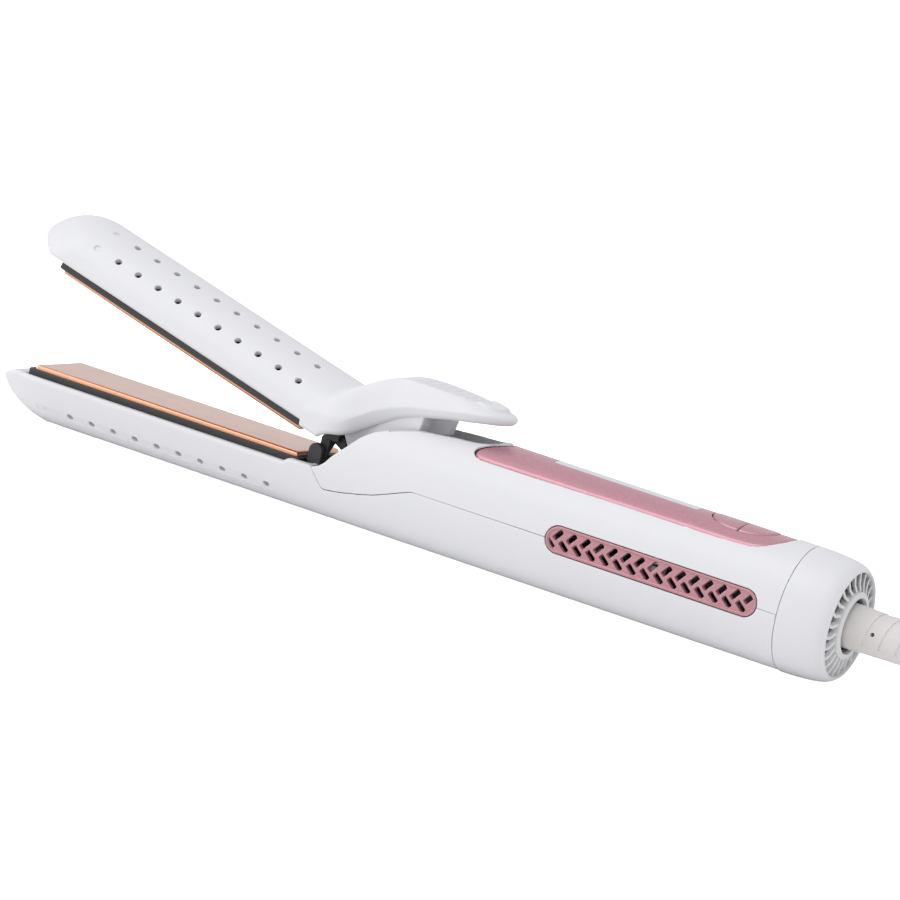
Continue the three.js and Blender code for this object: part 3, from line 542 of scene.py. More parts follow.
NOSE_HALF_PLAN = smooth_line([
    (-296.2, 0), (-295.6, 5), (-293.6, 10), (-289.4, 14.4), (-284.2, 17.2), (-279.6, 18.6), (-273, ARM_HALF)])
LEVER_HALF_PLAN = [
    (-171, ARM_HALF), (-166.5, 18.8), (-162.5, 17.5), (-158, 15.3), (-154, 13.9), (-149, 13.05), (-140, 12.7),
    (-130, 11.6), (-121, 9.9), (-115.6, 7.6), (-112.2, 4.2), (-110.9, 0)]
LEVER_PLAN = Outline(
    [(-230, ARM_HALF), (-175, ARM_HALF)] + smooth_line(LEVER_HALF_PLAN)
    + smooth_line([(x, -y) for x, y in reversed(LEVER_HALF_PLAN)])
    + [(-175, -ARM_HALF), (-230, -ARM_HALF)], 0.25, 10)
NOSE_PLAN = Outline(
    [(-230, -ARM_HALF)] + [(x, -y) for x, y in reversed(NOSE_HALF_PLAN)] + NOSE_HALF_PLAN[1:]
    + [(-230, ARM_HALF)], 0.25, 10)
RIBS = [(-142.9, 8.8), (-139.5, 8.8), (-136.2, 8.5), (-132.9, 8.1), (-129.9, 7.4), (-127.0, 6.5), (-124.1, 5.4),
        (-121.2, 3.8)]
RIB_WIDTH, RIB_DEPTH = 1.7, 1.1
LEVER_WALL = 3.0
NOSE_SHOULDER = -276.0


def lever_plan(x, y):
    """The outline of arm and lever seen from above."""
    xa = to_arm(x, 0 * x + 14)[0]
    return np.where(x > -215, LEVER_PLAN(np.maximum(x, -210), y), NOSE_PLAN(np.minimum(xa, -235), y))


def lever_skin(x, y, z):
    """The top of the lever: level across the thumb steps, rolling over to the ridge along its edge."""
    edge = np.clip(1 + lever_plan(x, y) / ROLL_WIDTH, 0, 1.3)
    drop = LEVER_TOP(x) - RIDGE(x)
    slope = np.interp(x, LEVER_TOP.x, LEVER_TOP.scale)
    return (z - LEVER_TOP(x) + drop * edge**ROLL_POWER) * slope / np.sqrt(
        1 + (drop * ROLL_POWER / ROLL_WIDTH * edge ** (ROLL_POWER - 1)) ** 2)


def blunt_nose(x, y, z):
    """The upper arm's round, whose nose is fuller than the lower arm's."""
    nose = TIP + NOSE - (NOSE_SHOULDER - x) * NOSE / (NOSE_SHOULDER - TIP)
    return envelope(np.where(x < NOSE_SHOULDER, nose, np.maximum(x, TIP + NOSE)), y, z)


def arm_skin(x, y, z):
    """The outside of the arm and its lever, before its edges are cut."""
    xa, za = to_arm(x, z)
    return either(blunt_nose(xa, y, za - UPPER_AXIS), lever_skin(x, y, z), 2.5)


def lever_ribs(x, y):
    """How far the thumb steps are cut into the lever's top: sharp at the rear, fading out towards the arm."""
    depth = np.zeros(np.shape(x + y))
    for at, reach in RIBS:
        bar = x - at + 0.012 * y * y
        shape = np.clip((bar + RIB_WIDTH) / RIB_WIDTH, 0, 1) ** 1.3 * np.clip(-bar / 0.25, 0, 1)
        depth = np.maximum(depth, RIB_DEPTH * shape * np.clip((0.94 * reach - np.abs(y)) / 0.6, 0, 1))
    return depth


def lever_pad(x, y):
    """The raised crescent at the lever's tip, as a height over the top."""
    outline = np.maximum(length(x + 121.0, y) - 6.6, 5.6 - length(x + 126.2, y * 0.9))
    return 0.7 * np.clip(-outline / 0.6, 0, 1)


def upper_lip_line(xa):
    """The height of the upper arm's lip: rising along the nose, stepping down behind the tray."""
    rising = np.interp(xa, [-297, -284], [UPPER_LIP + NOSE_LIP_RISE, UPPER_LIP])
    return rising - LIP_STEP * np.clip((xa - LIP_STEP_X) / 0.6, 0, 1)


def upper_arm(x, y, z):
    """The upper arm's moulding with its lever, drawn open."""
    xa, za = to_arm(x, z)
    skin = arm_skin(x, y, z)
    on_lever = x > -150
    solid = skin + np.where(on_lever, lever_ribs(x, y) - lever_pad(x, y), 0)
    plan = lever_plan(x, y)
    tuck = BAND_TUCK * np.clip(RIDGE(x) - z, 0, 5) * np.interp(x, [-170, -160, -118, -112], [0, 1, 1, 0.4])
    solid = both(solid, plan + tuck, np.interp(x, [-215, -165, -126, -113], [1.0, 0.3, 0.3, 1.3]))
    lip_line = upper_lip_line(xa)
    lip = (lip_line - za) * np.where(xa < -284, 0.93, 1.0)
    lower = both(lip, -RIM.over(x, z), 0.0)
    solid = both(solid, lower, 1.5)
    mouth = rounded_box(xa - (MOUTH_FRONT + MOUTH_REAR) / 2, y, (MOUTH_REAR - MOUTH_FRONT) / 2, MOUTH_HALF, 1.5)
    inner = envelope(xa, y, za - UPPER_AXIS, WALL)
    arm_void = np.maximum(inner, np.maximum(np.minimum(mouth, lip_line + LIP_THICKNESS - za), xa + 173))
    neck_void = both(both(skin + LEVER_WALL, plan + 2.9, 1.2), -172 - x, 0)
    guard_bay = np.maximum(rounded_box(xa - GUARD_BAY[0], y, *GUARD_BAY[1:], 1.0), za - 7.5)
    body = minus(minus(minus(solid, arm_void), neck_void, 0.4), guard_bay, 0.2)
    for degrees in UPPER_ANGLES:
        holes, dimple, _, _ = air_holes(xa, y, za - UPPER_AXIS, UPPER_HOLES, UPPER_PITCH, degrees, skin)
        body = minus(minus(body, holes, 0.28), dimple, 0.3)
    return body


NECK = Outline([
    (-164.6, 8.6), (-160.2, 1.6), (-156.5, 5.5), (-152, 11.8), (-146, 14.2), (-138.7, 16.6), (-138.1, 24),
    (-147, 21.4), (-154, 16.5), (-160, 12.2), (-164.6, 11)])
FIN = Outline([(-143.4, 15.1), (-132.3, 17.4), (-130.9, 25.5), (-142.2, 24)])


def neck_block(x, y, z):
    """The moulding under the lever that carries the hinge knuckles."""
    block = both(np.abs(y) - 10.4, NECK(x, z), 0.6)
    hinge = length(x - PIVOT_X, z - PIVOT_Z)
    knuckle = both(hinge - 4.6, np.abs(np.abs(y) - 10.2) - 1.7, 0.3)
    return minus(np.minimum(block, knuckle), hinge - 3.45, 0.2)


def lever_fin(x, y, z):
    """The fin under the lever that dips into the pocket."""
    return both(np.abs(y) - 2.2, FIN(x, z), 0.4)


def lower_guard(x, y, z):
    """Black bracket on the lower arm: a round-topped tab at each side of a cross bar."""
    lean = x + 171.2 + (z + 1) * 0.06
    tab = both(length(lean, np.maximum(z - 1.0, 0)) - 2.5, np.abs(np.abs(y) - 12.7) - 1.25, 0.4)
    tab = np.maximum(tab, -8.4 - z)
    bar = both(both(np.abs(x + 171.6) - 1.9, np.abs(z + 8.0) - 0.6, 0.3), np.abs(y) - 13.5, 0.3)
    return np.minimum(tab, bar)


GUARD_POST = Outline([(-171.8, -2.2), (-168.8, -2.2), (-168.2, 5.2), (-171.6, 5.9)])
GUARD_ARCH = Outline([(-171, 6.5), (-164.9, 6.9), (-160.9, 1.6), (-162.6, -0.4), (-165.3, 3.0), (-168.2, 4.6),
                      (-169.9, 0.2), (-171.4, -0.4)])


def upper_guard(x, y, z):
    """Black hook under the upper arm, beside the wiring."""
    far = np.abs(np.abs(y) - 10.0)
    post = both(GUARD_POST(x, z), far - 1.1, 0.3)
    arch = both(GUARD_ARCH(x, z), np.abs(np.abs(y) - 7.4) - 1.2, 0.3)
    bridge = both(rounded_box(x + 168.4, z - 6.6, 2.9, 1.3, 0.3), np.abs(y) - 11.0, 0.3)
    return np.minimum(np.minimum(post, arch), bridge)


def control_panel(x, y, z):
    """The pink panel set into the handle's top, open at the display and the buttons."""
    skin = envelope(x, y, z)
    plan = PANEL(x, y)
    sheet = both(both(skin + PANEL_SINK, plan + GROOVE, 1.0), -(skin + PANEL_SINK + PANEL_THICKNESS))
    x0, x1, half = WINDOW
    window = rounded_box(x - (x0 + x1) / 2, y, (x1 - x0) / 2, half, 1.0)
    sheet = minus(np.maximum(sheet, 5 - z), np.maximum(window, 5 - z), 0.15)
    return minus(sheet, np.maximum(oval(x, y) - 0.15, 5 - z), 0.2)


def panel_seal(x, y, z):
    """A dark ring of painted shadow at the bottom of the groove round the panel."""
    plan = PANEL(x, y)
    ring = np.maximum(plan + 0.04, -(plan + GROOVE - 0.04))
    skin = envelope(x, y, z)
    return np.maximum.reduce([ring, skin + 0.55, -(skin + GAP_SHADE_BOTTOM), 5 - z])


def display_window(x, y, z):
    """The clear lens over the display."""
    x0, x1, half = WINDOW
    window = rounded_box(x - (x0 + x1) / 2, y, (x1 - x0) / 2, half, 1.0) + 0.1
    skin = envelope(x, y, z)
    return np.maximum(both(both(skin + PANEL_SINK + 0.02, window, 0.2), -(skin + 1.5)), 5 - z)


def button(x, y, z, side):
    """One half of the oval: the power cap or the mode cap."""
    skin = envelope(x, y, z)
    split = side * (x - OVAL[3]) + 0.14
    plan = both(oval(x, y) + 0.12, split, 0.5)
    return np.maximum(both(both(skin + 0.15, plan, 0.55), -(skin + 1.9)), 5 - z)


def vent(x, y, z, side):
    """A pink insert with a border and two slanting rows of slots."""
    skin = envelope(x, y, z)
    plan = vent_pill(x, z)
    body = both(both(skin - 0.1, plan, 0.35), -(skin + VENT_DEPTH))
    field = both(vent_pill(x, z, -0.8), -0.35 - skin, 0.25)
    body = minus(body, field, 0.25)
    slots = np.full(np.shape(x + z), 9.0)
    slant = 0.28 * np.clip(-skin, 0, 2)
    for first, zc, degrees, rise in ((-78.4, 1.35, 52, 0.5), (-80.6, -1.75, -41, 0.1)):
        k = np.clip(np.round((x - slant - first) / SLOT_PITCH), 0, SLOT_COUNT)
        a, b = turn(x - slant - first - k * SLOT_PITCH, z - slant * rise - zc, math.radians(degrees))
        slots = np.minimum(slots, rounded_box(a, b, 1.95, 0.92, 0.45))
    slots = np.maximum(slots, vent_pill(x, z, -1.15))
    body = minus(body, slots, 0.12)
    return np.maximum(body, side * y + 5)


def lower_tray(x, y, z):
    """The black tray the plate floats in: a rim on the lip and a tub below it."""
    top = -2.5
    x0, x1 = MOUTH_FRONT + 0.3, -175.2
    rim = rounded_box(x - (x0 + x1) / 2, y, (x1 - x0) / 2, 16.2, 1.2)
    floor = top - 16.5
    body = both(rim, z - top, 0.35)
    body = np.maximum(body, floor - z)
    body = np.maximum(body, envelope(x, y, z, WALL + 0.3) * (z < -6.4) - 9 * (z >= -6.4))
    well = rounded_box(x + 227.2, y, 51.0, 15.4, 1.0)
    return minus(body, np.maximum(well, floor + 1.4 - z), 0.2)


def plate(x, y, z):
    """The coated plate, with its long edges rounded."""
    top = -1.05
    x0, x1 = -277.8, -176.6
    slab = rounded_box(x - (x0 + x1) / 2, y, (x1 - x0) / 2, 15.0, 0.6)
    upper = both(z - top, slab, 1.35)
    return both(upper, top - 3.2 - z, 0.2)


def relief(x, y, z):
    """The ribbed sleeve that eases the cord out of the cap."""
    rho = length(y, z)
    radius = np.interp(x, [12, 14, 24, 40, 52, 60], [7.45, 7.45, 7.2, 6.9, 5.2, 4.6])
    body = both(rho - radius, x - 52, 0.8)
    body = both(body, 12.2 - x, 0.5)
    angle = np.arctan2(z, -y)
    first = 25.2 + 1.5 * np.clip(angle, -0.5, 1.6)
    k = np.clip(np.floor((x - first) / 5.7), 0, 3)
    s = x - first - k * 5.7
    sector = np.maximum(-angle - 0.57, angle - 2.5) * radius
    depth = 0.38 * np.clip(1 - s / 3.0, 0, 1)
    pocket = np.maximum.reduce([-s, s - 3.0, sector])
    pocket = np.maximum(pocket, -depth - (rho - radius))
    body = minus(body, pocket, 0.06)
    pin = np.maximum(length(x - 27.4, z - 0.6) - 0.7, y)
    return minus(body, pin, 0.1)


# ---------------------------------------------------------------- swept and turned meshes

def turned(name, profile, segments=160):
    """A closed profile of (x, radius) turned about the handle axis."""
    p = np.array(profile, float)
    angle = np.linspace(0, 2 * math.pi, segments, endpoint=False)
    verts = np.stack([np.repeat(p[:, 0], segments), np.outer(p[:, 1], np.sin(angle)).ravel(),
                      np.outer(p[:, 1], np.cos(angle)).ravel()], 1)
    n = len(p)
    i, j = np.meshgrid(np.arange(n), np.arange(segments), indexing="ij")
    k, m = (i + 1) % n, (j + 1) % segments
    corners = [i * segments + j, i * segments + m, k * segments + m, k * segments + j]
    faces = np.stack(corners, -1).reshape(-1, 4)
    obj = build_mesh(name, verts, faces)
    smooth_by_angle(obj, 32)
    return obj


def smooth_by_angle(obj, degrees):
    """Smooth shading that breaks where faces meet at more than an angle."""
    obj.data.shade_smooth()
    obj.data.set_sharp_from_angle(angle=math.radians(degrees))


def arc(cx, cr, r, a0, a1, n=6):
    """Points round a centre in (x, radius), from one angle in degrees to another."""
    turns = [math.radians(a) for a in np.linspace(a0, a1, n)]
    return [(cx + r * math.cos(a), cr + r * math.sin(a)) for a in turns]


def joined(name, parts):
    """One mesh object from (verts, faces) pairs with equal-sided faces."""
    verts, faces, start = [], [], 0
    for v, f in parts:
        verts.append(np.asarray(v, float))
        faces.append(np.asarray(f) + start)
        start += len(v)
    return build_mesh(name, np.concatenate(verts), np.concatenate(faces))


def blade_grid(radii, depths, point, thickness):
    """A thin closed blade through point(radius, depth), which gives an angle about the axis."""
    verts = []
    nr, nd = len(radii), len(depths)
    for side in (-1, 1):
        for r in radii:
            front = np.interp(r, [11.0, 16.8], [GRILLE_HUB_X - 0.3, GRILLE_EDGE_X])
            for d in depths:
                a = point(r, d) + side * thickness / 2 / r
                verts.append((front + d, r * math.sin(a), r * math.cos(a)))
    faces = []

    def at(side, i, j):
        return side * nr * nd + i * nd + j

    for i in range(nr - 1):
        for j in range(nd - 1):
            faces.append((at(0, i, j), at(0, i, j + 1), at(0, i + 1, j + 1), at(0, i + 1, j)))
            faces.append((at(1, i, j), at(1, i + 1, j), at(1, i + 1, j + 1), at(1, i, j + 1)))
    for i in range(nr - 1):
        faces.append((at(0, i, 0), at(0, i + 1, 0), at(1, i + 1, 0), at(1, i, 0)))
        faces.append((at(0, i, nd - 1), at(1, i, nd - 1), at(1, i + 1, nd - 1), at(0, i + 1, nd - 1)))
    for j in range(nd - 1):
        faces.append((at(0, 0, j), at(1, 0, j), at(1, 0, j + 1), at(0, 0, j + 1)))
        faces.append((at(0, nr - 1, j), at(0, nr - 1, j + 1), at(1, nr - 1, j + 1), at(1, nr - 1, j)))
    return verts, faces


GRILLE_HUB_X, GRILLE_EDGE_X = 17.6, 15.9


def grille_vanes():
    """Slightly kinked blades between the collar and the cap's bore."""
    vanes = 24
    radii = np.array([10.7, 11.6, 12.4, 13.0, 13.5, 14.0, 14.8, 15.9, 17.15])
    depths = np.linspace(-1.5, 0, 3)
    parts = []
    for k in range(vanes):
        base = 2 * math.pi * k / vanes

        def point(r, d, base=base):
            kink = 0.10 * (13.5 - r) / 3.2 if r < 13.5 else 0.04 * (r - 13.5) / 3.0
            return base + kink - 0.03 * d

        parts.append(blade_grid(radii, depths, point, 1.1))
    obj = joined("grille_vanes", parts)
    smooth_by_angle(obj, 35)
    bevel = obj.modifiers.new("soft", "BEVEL")
    bevel.width, bevel.segments, bevel.limit_method = 0.18 * MM, 2, "ANGLE"
    bevel.angle_limit = math.radians(50)
    return obj


def cord_run():
    """The stub of cord, with the faint ripple a moulded jacket has."""
    x = np.linspace(46, 79.9, 90)
    radius = 3.4 + 0.03 * np.sin(x * 2.1)
    radius[-4:] -= np.array([0.02, 0.08, 0.2, 0.45])
    profile = [(x[0], 0.01)] + list(zip(x, radius)) + [(79.95, 0.01)]
    return turned("cord_jacket", profile, 96)


def rear_cap():
    """The cap: a rounded shoulder and a rim that leads into the air intake."""
    outside = smooth_line([(CAP_GAP + 0.2, REAR_RADIUS), (3, 20.68), (7, 20.5), (11, 20.1), (13.6, 19.65),
                           (15.4, 19.0), (16.4, 18.3)], 6)
    rim = smooth_line([(16.4, 18.3), (16.9, 17.85), (17.0, 17.5), (16.7, 17.2), (16.1, 17.05)], 6)
    inside = [(15.3, 17.0), (11.0, 17.0), (10.8, 17.2), (1.0, 17.6), (CAP_GAP, 17.8)]
    profile = [(CAP_GAP, 20.5)] + outside + rim + inside
    return turned("cap_skin", profile, 192)


def grille_collar():
    """The ring at the middle of the intake grille."""
    hub = arc(GRILLE_HUB_X, 10.6, 0.5, 90, 35, 4) + arc(18.0, 9.5, 0.4, 50, -90, 6)
    return turned("grille_hub", [(14.9, 11.1)] + hub + [(12.4, 9.1), (12.4, 9.8), (14.9, 9.8)], 128)


# ---------------------------------------------------------------- materials

BLOTCH_MM, GLINT_FLAKE_MM = 9.0, 0.35
# how far sharp edges are lightened as a painted highlight
EDGE_HIGHLIGHT = 0.25

def node(tree, kind, **values):
    """A new shader node, with values for its inputs or its settings."""
    n = tree.nodes.new(kind)
    for key, value in values.items():
        if key in n.inputs:
            n.inputs[key].default_value = value
        else:
            setattr(n, key, value)
    return n


def linked(tree, source, target):
    """Join a shader output to an input."""
    tree.links.new(source, target)


def blend(tree, base, over, mix, **values):
    """One colour mixed over another; each is a shader output or a plain colour."""
    n = node(tree, "ShaderNodeMix", data_type="RGBA", **values)
    slots = [i for i in n.inputs if i.type == "RGBA"][:2]
    for slot, colour in zip(slots, (base, over)):
        if isinstance(colour, tuple):
            slot.default_value = (*colour, 1)
        else:
            linked(tree, colour, slot)
    if isinstance(mix, float):
        n.inputs["Factor"].default_value = mix
    else:
        linked(tree, mix, n.inputs["Factor"])
    return next(o for o in n.outputs if o.type == "RGBA")


def remap(tree, source, **ends):
    """A shader value taken from one range to another; the ends go by the node's own names, with _ for a space."""
    n = node(tree, "ShaderNodeMapRange")
    for key, value in ends.items():
        n.inputs[key.replace("_", " ")].default_value = value
    linked(tree, source, n.inputs["Value"])
    return n.outputs["Result"]


def finish(name, base, tint, rough=0.4, metal=0.0, grain=0.03, grain_mm=0.25, coat=0.0, glint_flake=0.0,
           highlight_tint=None, sheen_rough=0.1, subsurface=0.0, brushed=None):
    """A moulded or painted finish: slow colour drift, fine grain in bump and roughness, and sharp edges painted
    lighter as a highlight.
    """
    mat = bpy.data.materials.new(name)
    mat.use_nodes = True
    t = mat.node_tree
    t.nodes.clear()
    out = node(t, "ShaderNodeOutputMaterial")
    bsdf = node(t, "ShaderNodeBsdfPrincipled", Metallic=metal, Roughness=rough)
    bsdf.inputs["Coat Weight"].default_value = coat
    bsdf.inputs["Coat Roughness"].default_value = sheen_rough
    if subsurface:
        bsdf.inputs["Subsurface Weight"].default_value = subsurface
        bsdf.inputs["Subsurface Radius"].default_value = (0.004, 0.0035, 0.003)
        bsdf.inputs["Subsurface Scale"].default_value = 0.4
    place_at = node(t, "ShaderNodeTexCoord").outputs["Object"]
    grain_at = place_at
    if brushed:
        stretch = node(t, "ShaderNodeMapping")
        stretch.inputs["Scale"].default_value = brushed
        linked(t, place_at, stretch.inputs["Vector"])
        grain_at = stretch.outputs["Vector"]
    slow = node(t, "ShaderNodeTexNoise", Scale=1000 / BLOTCH_MM, Detail=3.0)
    fine = node(t, "ShaderNodeTexNoise", Scale=1000 / grain_mm, Detail=2.0)
    linked(t, place_at, slow.inputs["Vector"])
    linked(t, grain_at, fine.inputs["Vector"])
    colour = blend(t, base, tint, slow.outputs["Fac"])
    # metallic speckle in the colour: partly the flakes' own tone, partly painted glint
    if glint_flake:
        cells = node(t, "ShaderNodeTexVoronoi", Scale=1000 / GLINT_FLAKE_MM)
        linked(t, place_at, cells.inputs["Vector"])
        colour = blend(t, colour, cells.outputs["Color"], glint_flake, blend_type="SOFT_LIGHT")
    # painted highlight: sharp edges, found by pointiness, get a lighter colour standing for light caught on
    # rounded edges
    edges = node(t, "ShaderNodeNewGeometry").outputs["Pointiness"]
    edge_highlight = remap(t, edges, From_Min=0.51, From_Max=0.62, To_Min=0.0, To_Max=EDGE_HIGHLIGHT)
    highlight_colour = highlight_tint or tuple(min(1, c * 1.12 + 0.02) for c in base)
    linked(t, blend(t, colour, highlight_colour, edge_highlight), bsdf.inputs["Base Color"])
    uneven = remap(t, slow.outputs["Fac"], To_Min=rough - 0.05, To_Max=rough + 0.07)
    linked(t, uneven, bsdf.inputs["Roughness"])
    bump = node(t, "ShaderNodeBump", Strength=min(1.0, grain * 6), Distance=grain * MM)
    linked(t, fine.outputs["Fac"], bump.inputs["Height"])
    linked(t, bump.outputs["Normal"], bsdf.inputs["Normal"])
    linked(t, bsdf.outputs["BSDF"], out.inputs["Surface"])
    return mat


# Where a look gives an edge tint, that colour is painted on sharp edges as a highlight; the pink looks' metallic
# speckle is partly painted glint.
LOOKS = {
    "white_shell": finish("white_shell", (0.80, 0.80, 0.825), (0.785, 0.79, 0.815), 0.42, grain=0.02, coat=0.15,
                          sheen_rough=0.3),
    "white_grille": finish("white_grille", (0.80, 0.80, 0.80), (0.78, 0.78, 0.785), 0.4, grain=0.02),
    "pink_metallic": finish("pink_metallic", (0.60, 0.295, 0.35), (0.56, 0.28, 0.335), 0.34, metal=0.55,
                            grain=0.02, coat=0.45, glint_flake=0.2, highlight_tint=(0.80, 0.50, 0.57)),
    "pink_vent": finish("pink_vent", (0.56, 0.27, 0.30), (0.53, 0.26, 0.295), 0.4, metal=0.35, grain=0.03,
                        coat=0.2, glint_flake=0.15, highlight_tint=(0.80, 0.52, 0.56)),
    # near-black maroon for the gaps round the panel and the vents: painted shadow
    "dark_seal": finish("dark_seal", (0.075, 0.03, 0.04), (0.065, 0.028, 0.036), 0.6, grain=0.03),
    "black_plastic": finish("black_plastic", (0.040, 0.040, 0.043), (0.052, 0.052, 0.055), 0.5, grain=0.05,
                            highlight_tint=(0.12, 0.12, 0.12)),
    "plate_coating": finish("plate_coating", (0.80, 0.40, 0.24), (0.77, 0.385, 0.225), 0.3, metal=1.0,
                            grain=0.008, grain_mm=0.2, brushed=(0.15, 1, 1), coat=1.0, sheen_rough=0.18,
                            highlight_tint=(0.86, 0.5, 0.34)),
    "heater_ceramic": finish("heater_ceramic", (0.72, 0.70, 0.64), (0.66, 0.63, 0.57), 0.75, grain=0.06),
    "display_lens": finish("display_lens", (0.70, 0.73, 0.76), (0.68, 0.71, 0.74), 0.12, grain=0.006, coat=0.8,
                           sheen_rough=0.05),
    "cord_rubber": finish("cord_rubber", (0.78, 0.75, 0.74), (0.75, 0.72, 0.705), 0.55, grain=0.05,
                          subsurface=0.15),
    "steel": finish("steel", (0.56, 0.57, 0.58), (0.50, 0.51, 0.52), 0.32, metal=1.0, grain=0.02,
                    brushed=(0.2, 1, 1), highlight_tint=(0.75, 0.75, 0.76)),
    "board": finish("board", (0.012, 0.06, 0.03), (0.01, 0.05, 0.025), 0.45, grain=0.04, coat=0.4),
    # grey for the pocket lining, partly painted shade
    "grey_liner": finish("grey_liner", (0.60, 0.60, 0.61), (0.57, 0.57, 0.58), 0.5, grain=0.03),
}


def dress(obj, look, body, *nodes):
    """Finish a piece, hang it on its body and let it stand for its CAD nodes."""
    obj.data.materials.clear()
    obj.data.materials.append(LOOKS[look])
    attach(obj, body)
    if nodes:
        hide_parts(*nodes)
    return obj


# ---------------------------------------------------------------- the pieces

def flipped(field):
    """The same solid on the upper arm: mirrored about the closed jaws' parting plane, then opened."""
    def other(x, y, z):
        xa, za = to_arm(x, z)
        return field(xa, y, -1.8 - za)
    return other


def open_box(x0, x1, y, z0, z1):
    corners = [arm_point(np.array(x), np.array(z)) for x in (x0, x1) for z in (z0, z1)]
    xs, zs = [float(c[0]) for c in corners], [float(c[1]) for c in corners]
    return (min(xs), -y, min(zs)), (max(xs), y, max(zs))


dress(carve("lower_shell_skin", lower_shell, (-299, -23, -23), (2, 23, 3), 0.5), "white_shell", "handle",
      "lower_shell")
dress(carve("upper_shell_skin", upper_shell, (-171, -23, -11), (2, 23, 23), 0.45), "white_shell", "handle",
      "upper_shell")
# the pocket lining, whose grey is partly painted shade
dress(carve("pocket_shade_liner", pocket_shade_liner, (-149, -19, 8), (-107, 19, 21), 0.4), "grey_liner", "handle")
low, high = open_box(-299, -168, 23, -3, 23)
dress(carve("arm_skin", upper_arm, low, (-109, 23, max(high[2], 36)), 0.45), "white_shell", "upper_arm",
      "upper_arm_shell")
dress(carve("neck_block", neck_block, (-167, -13, 0), (-136, 13, 25), 0.4), "white_shell", "upper_arm")
dress(carve("lever_fin", lever_fin, (-146, -4, 13), (-128, 4, 27), 0.4), "white_shell", "upper_arm",
      "lever_liner")
dress(carve("lower_guard", lower_guard, (-176, -15, -10), (-166, 15, 5), 0.3), "black_plastic", "handle",
      "lower_wire_guard")
dress(carve("upper_guard", upper_guard, (-174, -12, -5), (-159, 12, 9), 0.3), "black_plastic", "upper_arm",
      "upper_wire_guard")
dress(rear_cap(), "white_shell", "handle", "rear_cap")
dress(grille_vanes(), "white_grille", "handle", "intake_grille")
dress(grille_collar(), "white_grille", "handle")
# a black ring and disc inside the cap darken the intake behind the grille: painted shade, partly standing for the
# black fan housing
intake_shade_duct = turned("intake_shade_mouth", [(8.0, 16.7), (14.2, 16.7), (14.2, 16.1), (8.6, 16.1), (8.6, 8.2), (8.0, 8.2)], 96)
dress(intake_shade_duct, "black_plastic", "handle")
dress(carve("panel_skin", control_panel, (-120, -16, 9), (-4, 16, 22), 0.4), "pink_metallic", "handle",
      "control_panel")
# dark ring in the panel's groove: painted shadow
dress(carve("panel_seal", panel_seal, (-120, -16, 9), (-4, 16, 22), 0.3), "dark_seal", "handle")
dress(carve("display_window", display_window, (-99, -6, 17), (-42, 6, 22), 0.35), "display_lens", "handle",
      "display_lens")
BUTTONS = (("power_cap", "power_button_cap", 1, -44, -23), ("mode_cap", "mode_button_cap", -1, -27, -6))
for name, body, side, x0, x1 in BUTTONS:
    cap = carve(name, lambda x, y, z, s=side: button(x, y, z, s), (x0, -12, 14), (x1, 12, 22), 0.35)
    dress(cap, "pink_metallic", body, name.replace("cap", "button"))
for name, side in (("right_vent_skin", 1), ("left_vent_skin", -1)):
    lo, hi = (-86, -22, -6.5), (-6, -16, 6)
    if side < 0:
        lo, hi = (-86, 16, -6.5), (-6, 22, 6)
    piece = carve(name, lambda x, y, z, s=side: vent(x, y, z, s), lo, hi, 0.3)
    dress(piece, "pink_vent", "handle", name.replace("_skin", "_grille"))
    # dark ring round the vent: painted shadow
    gap_shade_piece = carve(name.replace("_skin", "_seal"), lambda x, y, z, s=side: vent_gap_shade(x, y, z, s), lo, hi, 0.3)
    dress(gap_shade_piece, "dark_seal", "handle")
dress(carve("lower_tray", lower_tray, (-281, -18, -20), (-174, 18, -1), 0.4), "black_plastic", "handle",
      "lower_plate_carrier")
dress(carve("lower_plate_face", plate, (-280, -17, -6), (-175, 17, 0), 0.5, 0.3), "plate_coating",
      "lower_plate_unit", "lower_plate")
low, high = open_box(-281, -174, 18, -1, 19)
dress(carve("upper_tray", flipped(lower_tray), low, high, 0.4), "black_plastic", "upper_arm",
      "upper_plate_carrier")
low, high = open_box(-280, -175, 17, -2, 5)
dress(carve("upper_plate_face", flipped(plate), low, high, 0.5, 0.3), "plate_coating", "upper_plate_unit",
      "upper_plate")
dress(carve("relief_sleeve", relief, (11, -9, -9), (54, 9, 9), 0.35), "cord_rubber", "cord", "strain_relief")
dress(cord_run(), "cord_rubber", "cord", "power_cord")

for name, obj in frame["nodes"].items():
    if not obj.hide_render:
        look = next((k for k, words in (
            ("steel", ("screw", "spring", "pin")), ("board", ("board",)), ("heater_ceramic", ("heater",)),
            ("black_plastic",
             ("guard", "impeller", "fan_housing", "motor", "switch", "module", "bush", "socket")),
            ("white_shell", ("liner",)), ("cord_rubber", ("swivel",)))
            if any(w in name for w in words)), "black_plastic")
        obj.data.materials.clear()
        obj.data.materials.append(LOOKS[look])

# ---------------------------------------------------------------- stage, light and camera

def sheet(name, size, z):
    """A level square of the stage."""
    me = bpy.data.meshes.new(name)
    me.from_pydata([(-size, -size, z), (size, -size, z), (size, size, z), (-size, size, z)], [], [(0, 1, 2, 3)])
    obj = bpy.data.objects.new(name, me)
    bpy.context.scene.collection.objects.link(obj)
    return obj


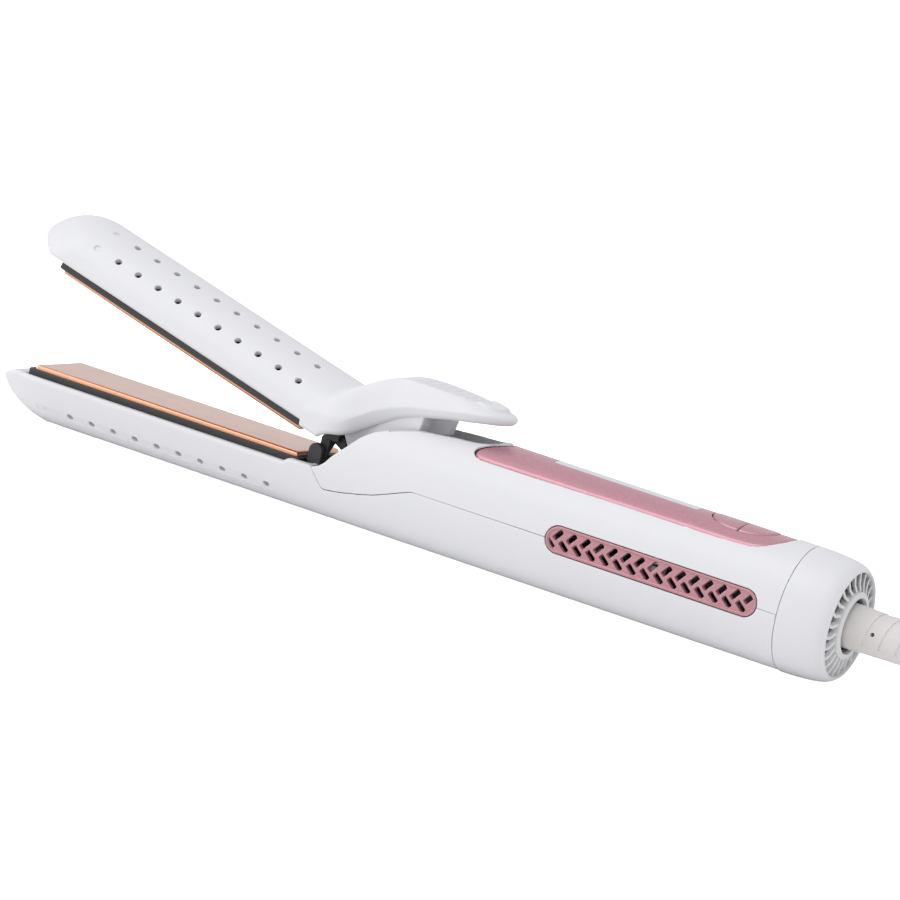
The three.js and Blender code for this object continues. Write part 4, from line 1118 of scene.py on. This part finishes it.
floor = sheet("floor", 6.0, -0.0005)
paper = bpy.data.materials.new("paper")
paper.use_nodes = True
paper_bsdf = paper.node_tree.nodes["Principled BSDF"]
paper_bsdf.inputs["Base Color"].default_value = (0.90, 0.90, 0.89, 1)
paper_bsdf.inputs["Roughness"].default_value = 0.9
paper_bsdf.inputs["Emission Color"].default_value = (1, 1, 1, 1)
seen = paper.node_tree.nodes.new("ShaderNodeLightPath")
glow = paper.node_tree.nodes.new("ShaderNodeMath")
glow.operation = "MULTIPLY_ADD"
glow.inputs[1].default_value = 0.9
glow.inputs[2].default_value = 0.10
paper.node_tree.links.new(seen.outputs["Is Camera Ray"], glow.inputs[0])
paper.node_tree.links.new(glow.outputs["Value"], paper_bsdf.inputs["Emission Strength"])
floor.data.materials.append(paper)

world = bpy.data.worlds.new("studio")
bpy.context.scene.world = world
world.use_nodes = True
world.node_tree.nodes["Background"].inputs["Color"].default_value = (0.975, 0.975, 1.0, 1)
world.node_tree.nodes["Background"].inputs["Strength"].default_value = 0.75


def softbox(name, at, size, power):
    """A large square lamp aimed at the middle of the iron."""
    lamp = bpy.data.lights.new(name, "AREA")
    lamp.energy, lamp.size = power, size
    obj = bpy.data.objects.new(name, lamp)
    bpy.context.scene.collection.objects.link(obj)
    target = Vector((-0.05, 0, 0.02))
    obj.location = target + Vector(at)
    obj.rotation_mode = "QUATERNION"
    obj.rotation_quaternion = (target - obj.location).to_track_quat("-Z", "Y")
    return obj


softbox("key", (-0.5, -0.7, 1.5), 1.2, 7.0)
softbox("fill", (-1.4, -1.1, 0.45), 1.0, 4.5)

scene = bpy.context.scene
scene.view_settings.view_transform = "Standard"
scene.view_settings.look = "None"

# the camera looks along azimuth 24.5, 9.2 degrees down, rolled so that the iron runs down to the right
AZIMUTH, ELEVATION, ROLL = math.radians(24.5), math.radians(9.16), math.radians(14.245)
DISTANCE = 2.0
level = math.cos(ELEVATION)
back = Vector((math.sin(AZIMUTH) * level, -math.cos(AZIMUTH) * level, math.sin(ELEVATION)))
right = Vector((math.cos(AZIMUTH), math.sin(AZIMUTH), 0))
up = back.cross(right)
right, up = right * math.cos(ROLL) + up * math.sin(ROLL), up * math.cos(ROLL) - right * math.sin(ROLL)
camera = bpy.data.objects.new("camera", bpy.data.cameras.new("camera"))
bpy.context.scene.collection.objects.link(camera)
camera.data.lens, camera.data.sensor_width = 246.9, 36.0
turned_to = Matrix((right, up, back)).transposed().to_4x4()
middle = Vector((ORIGIN.x - 0.150, 0, ORIGIN.z))
turned_to.translation = middle + back * DISTANCE + right * 0.01929 + up * 0.0068
camera.matrix_world = turned_to
scene.camera = camera
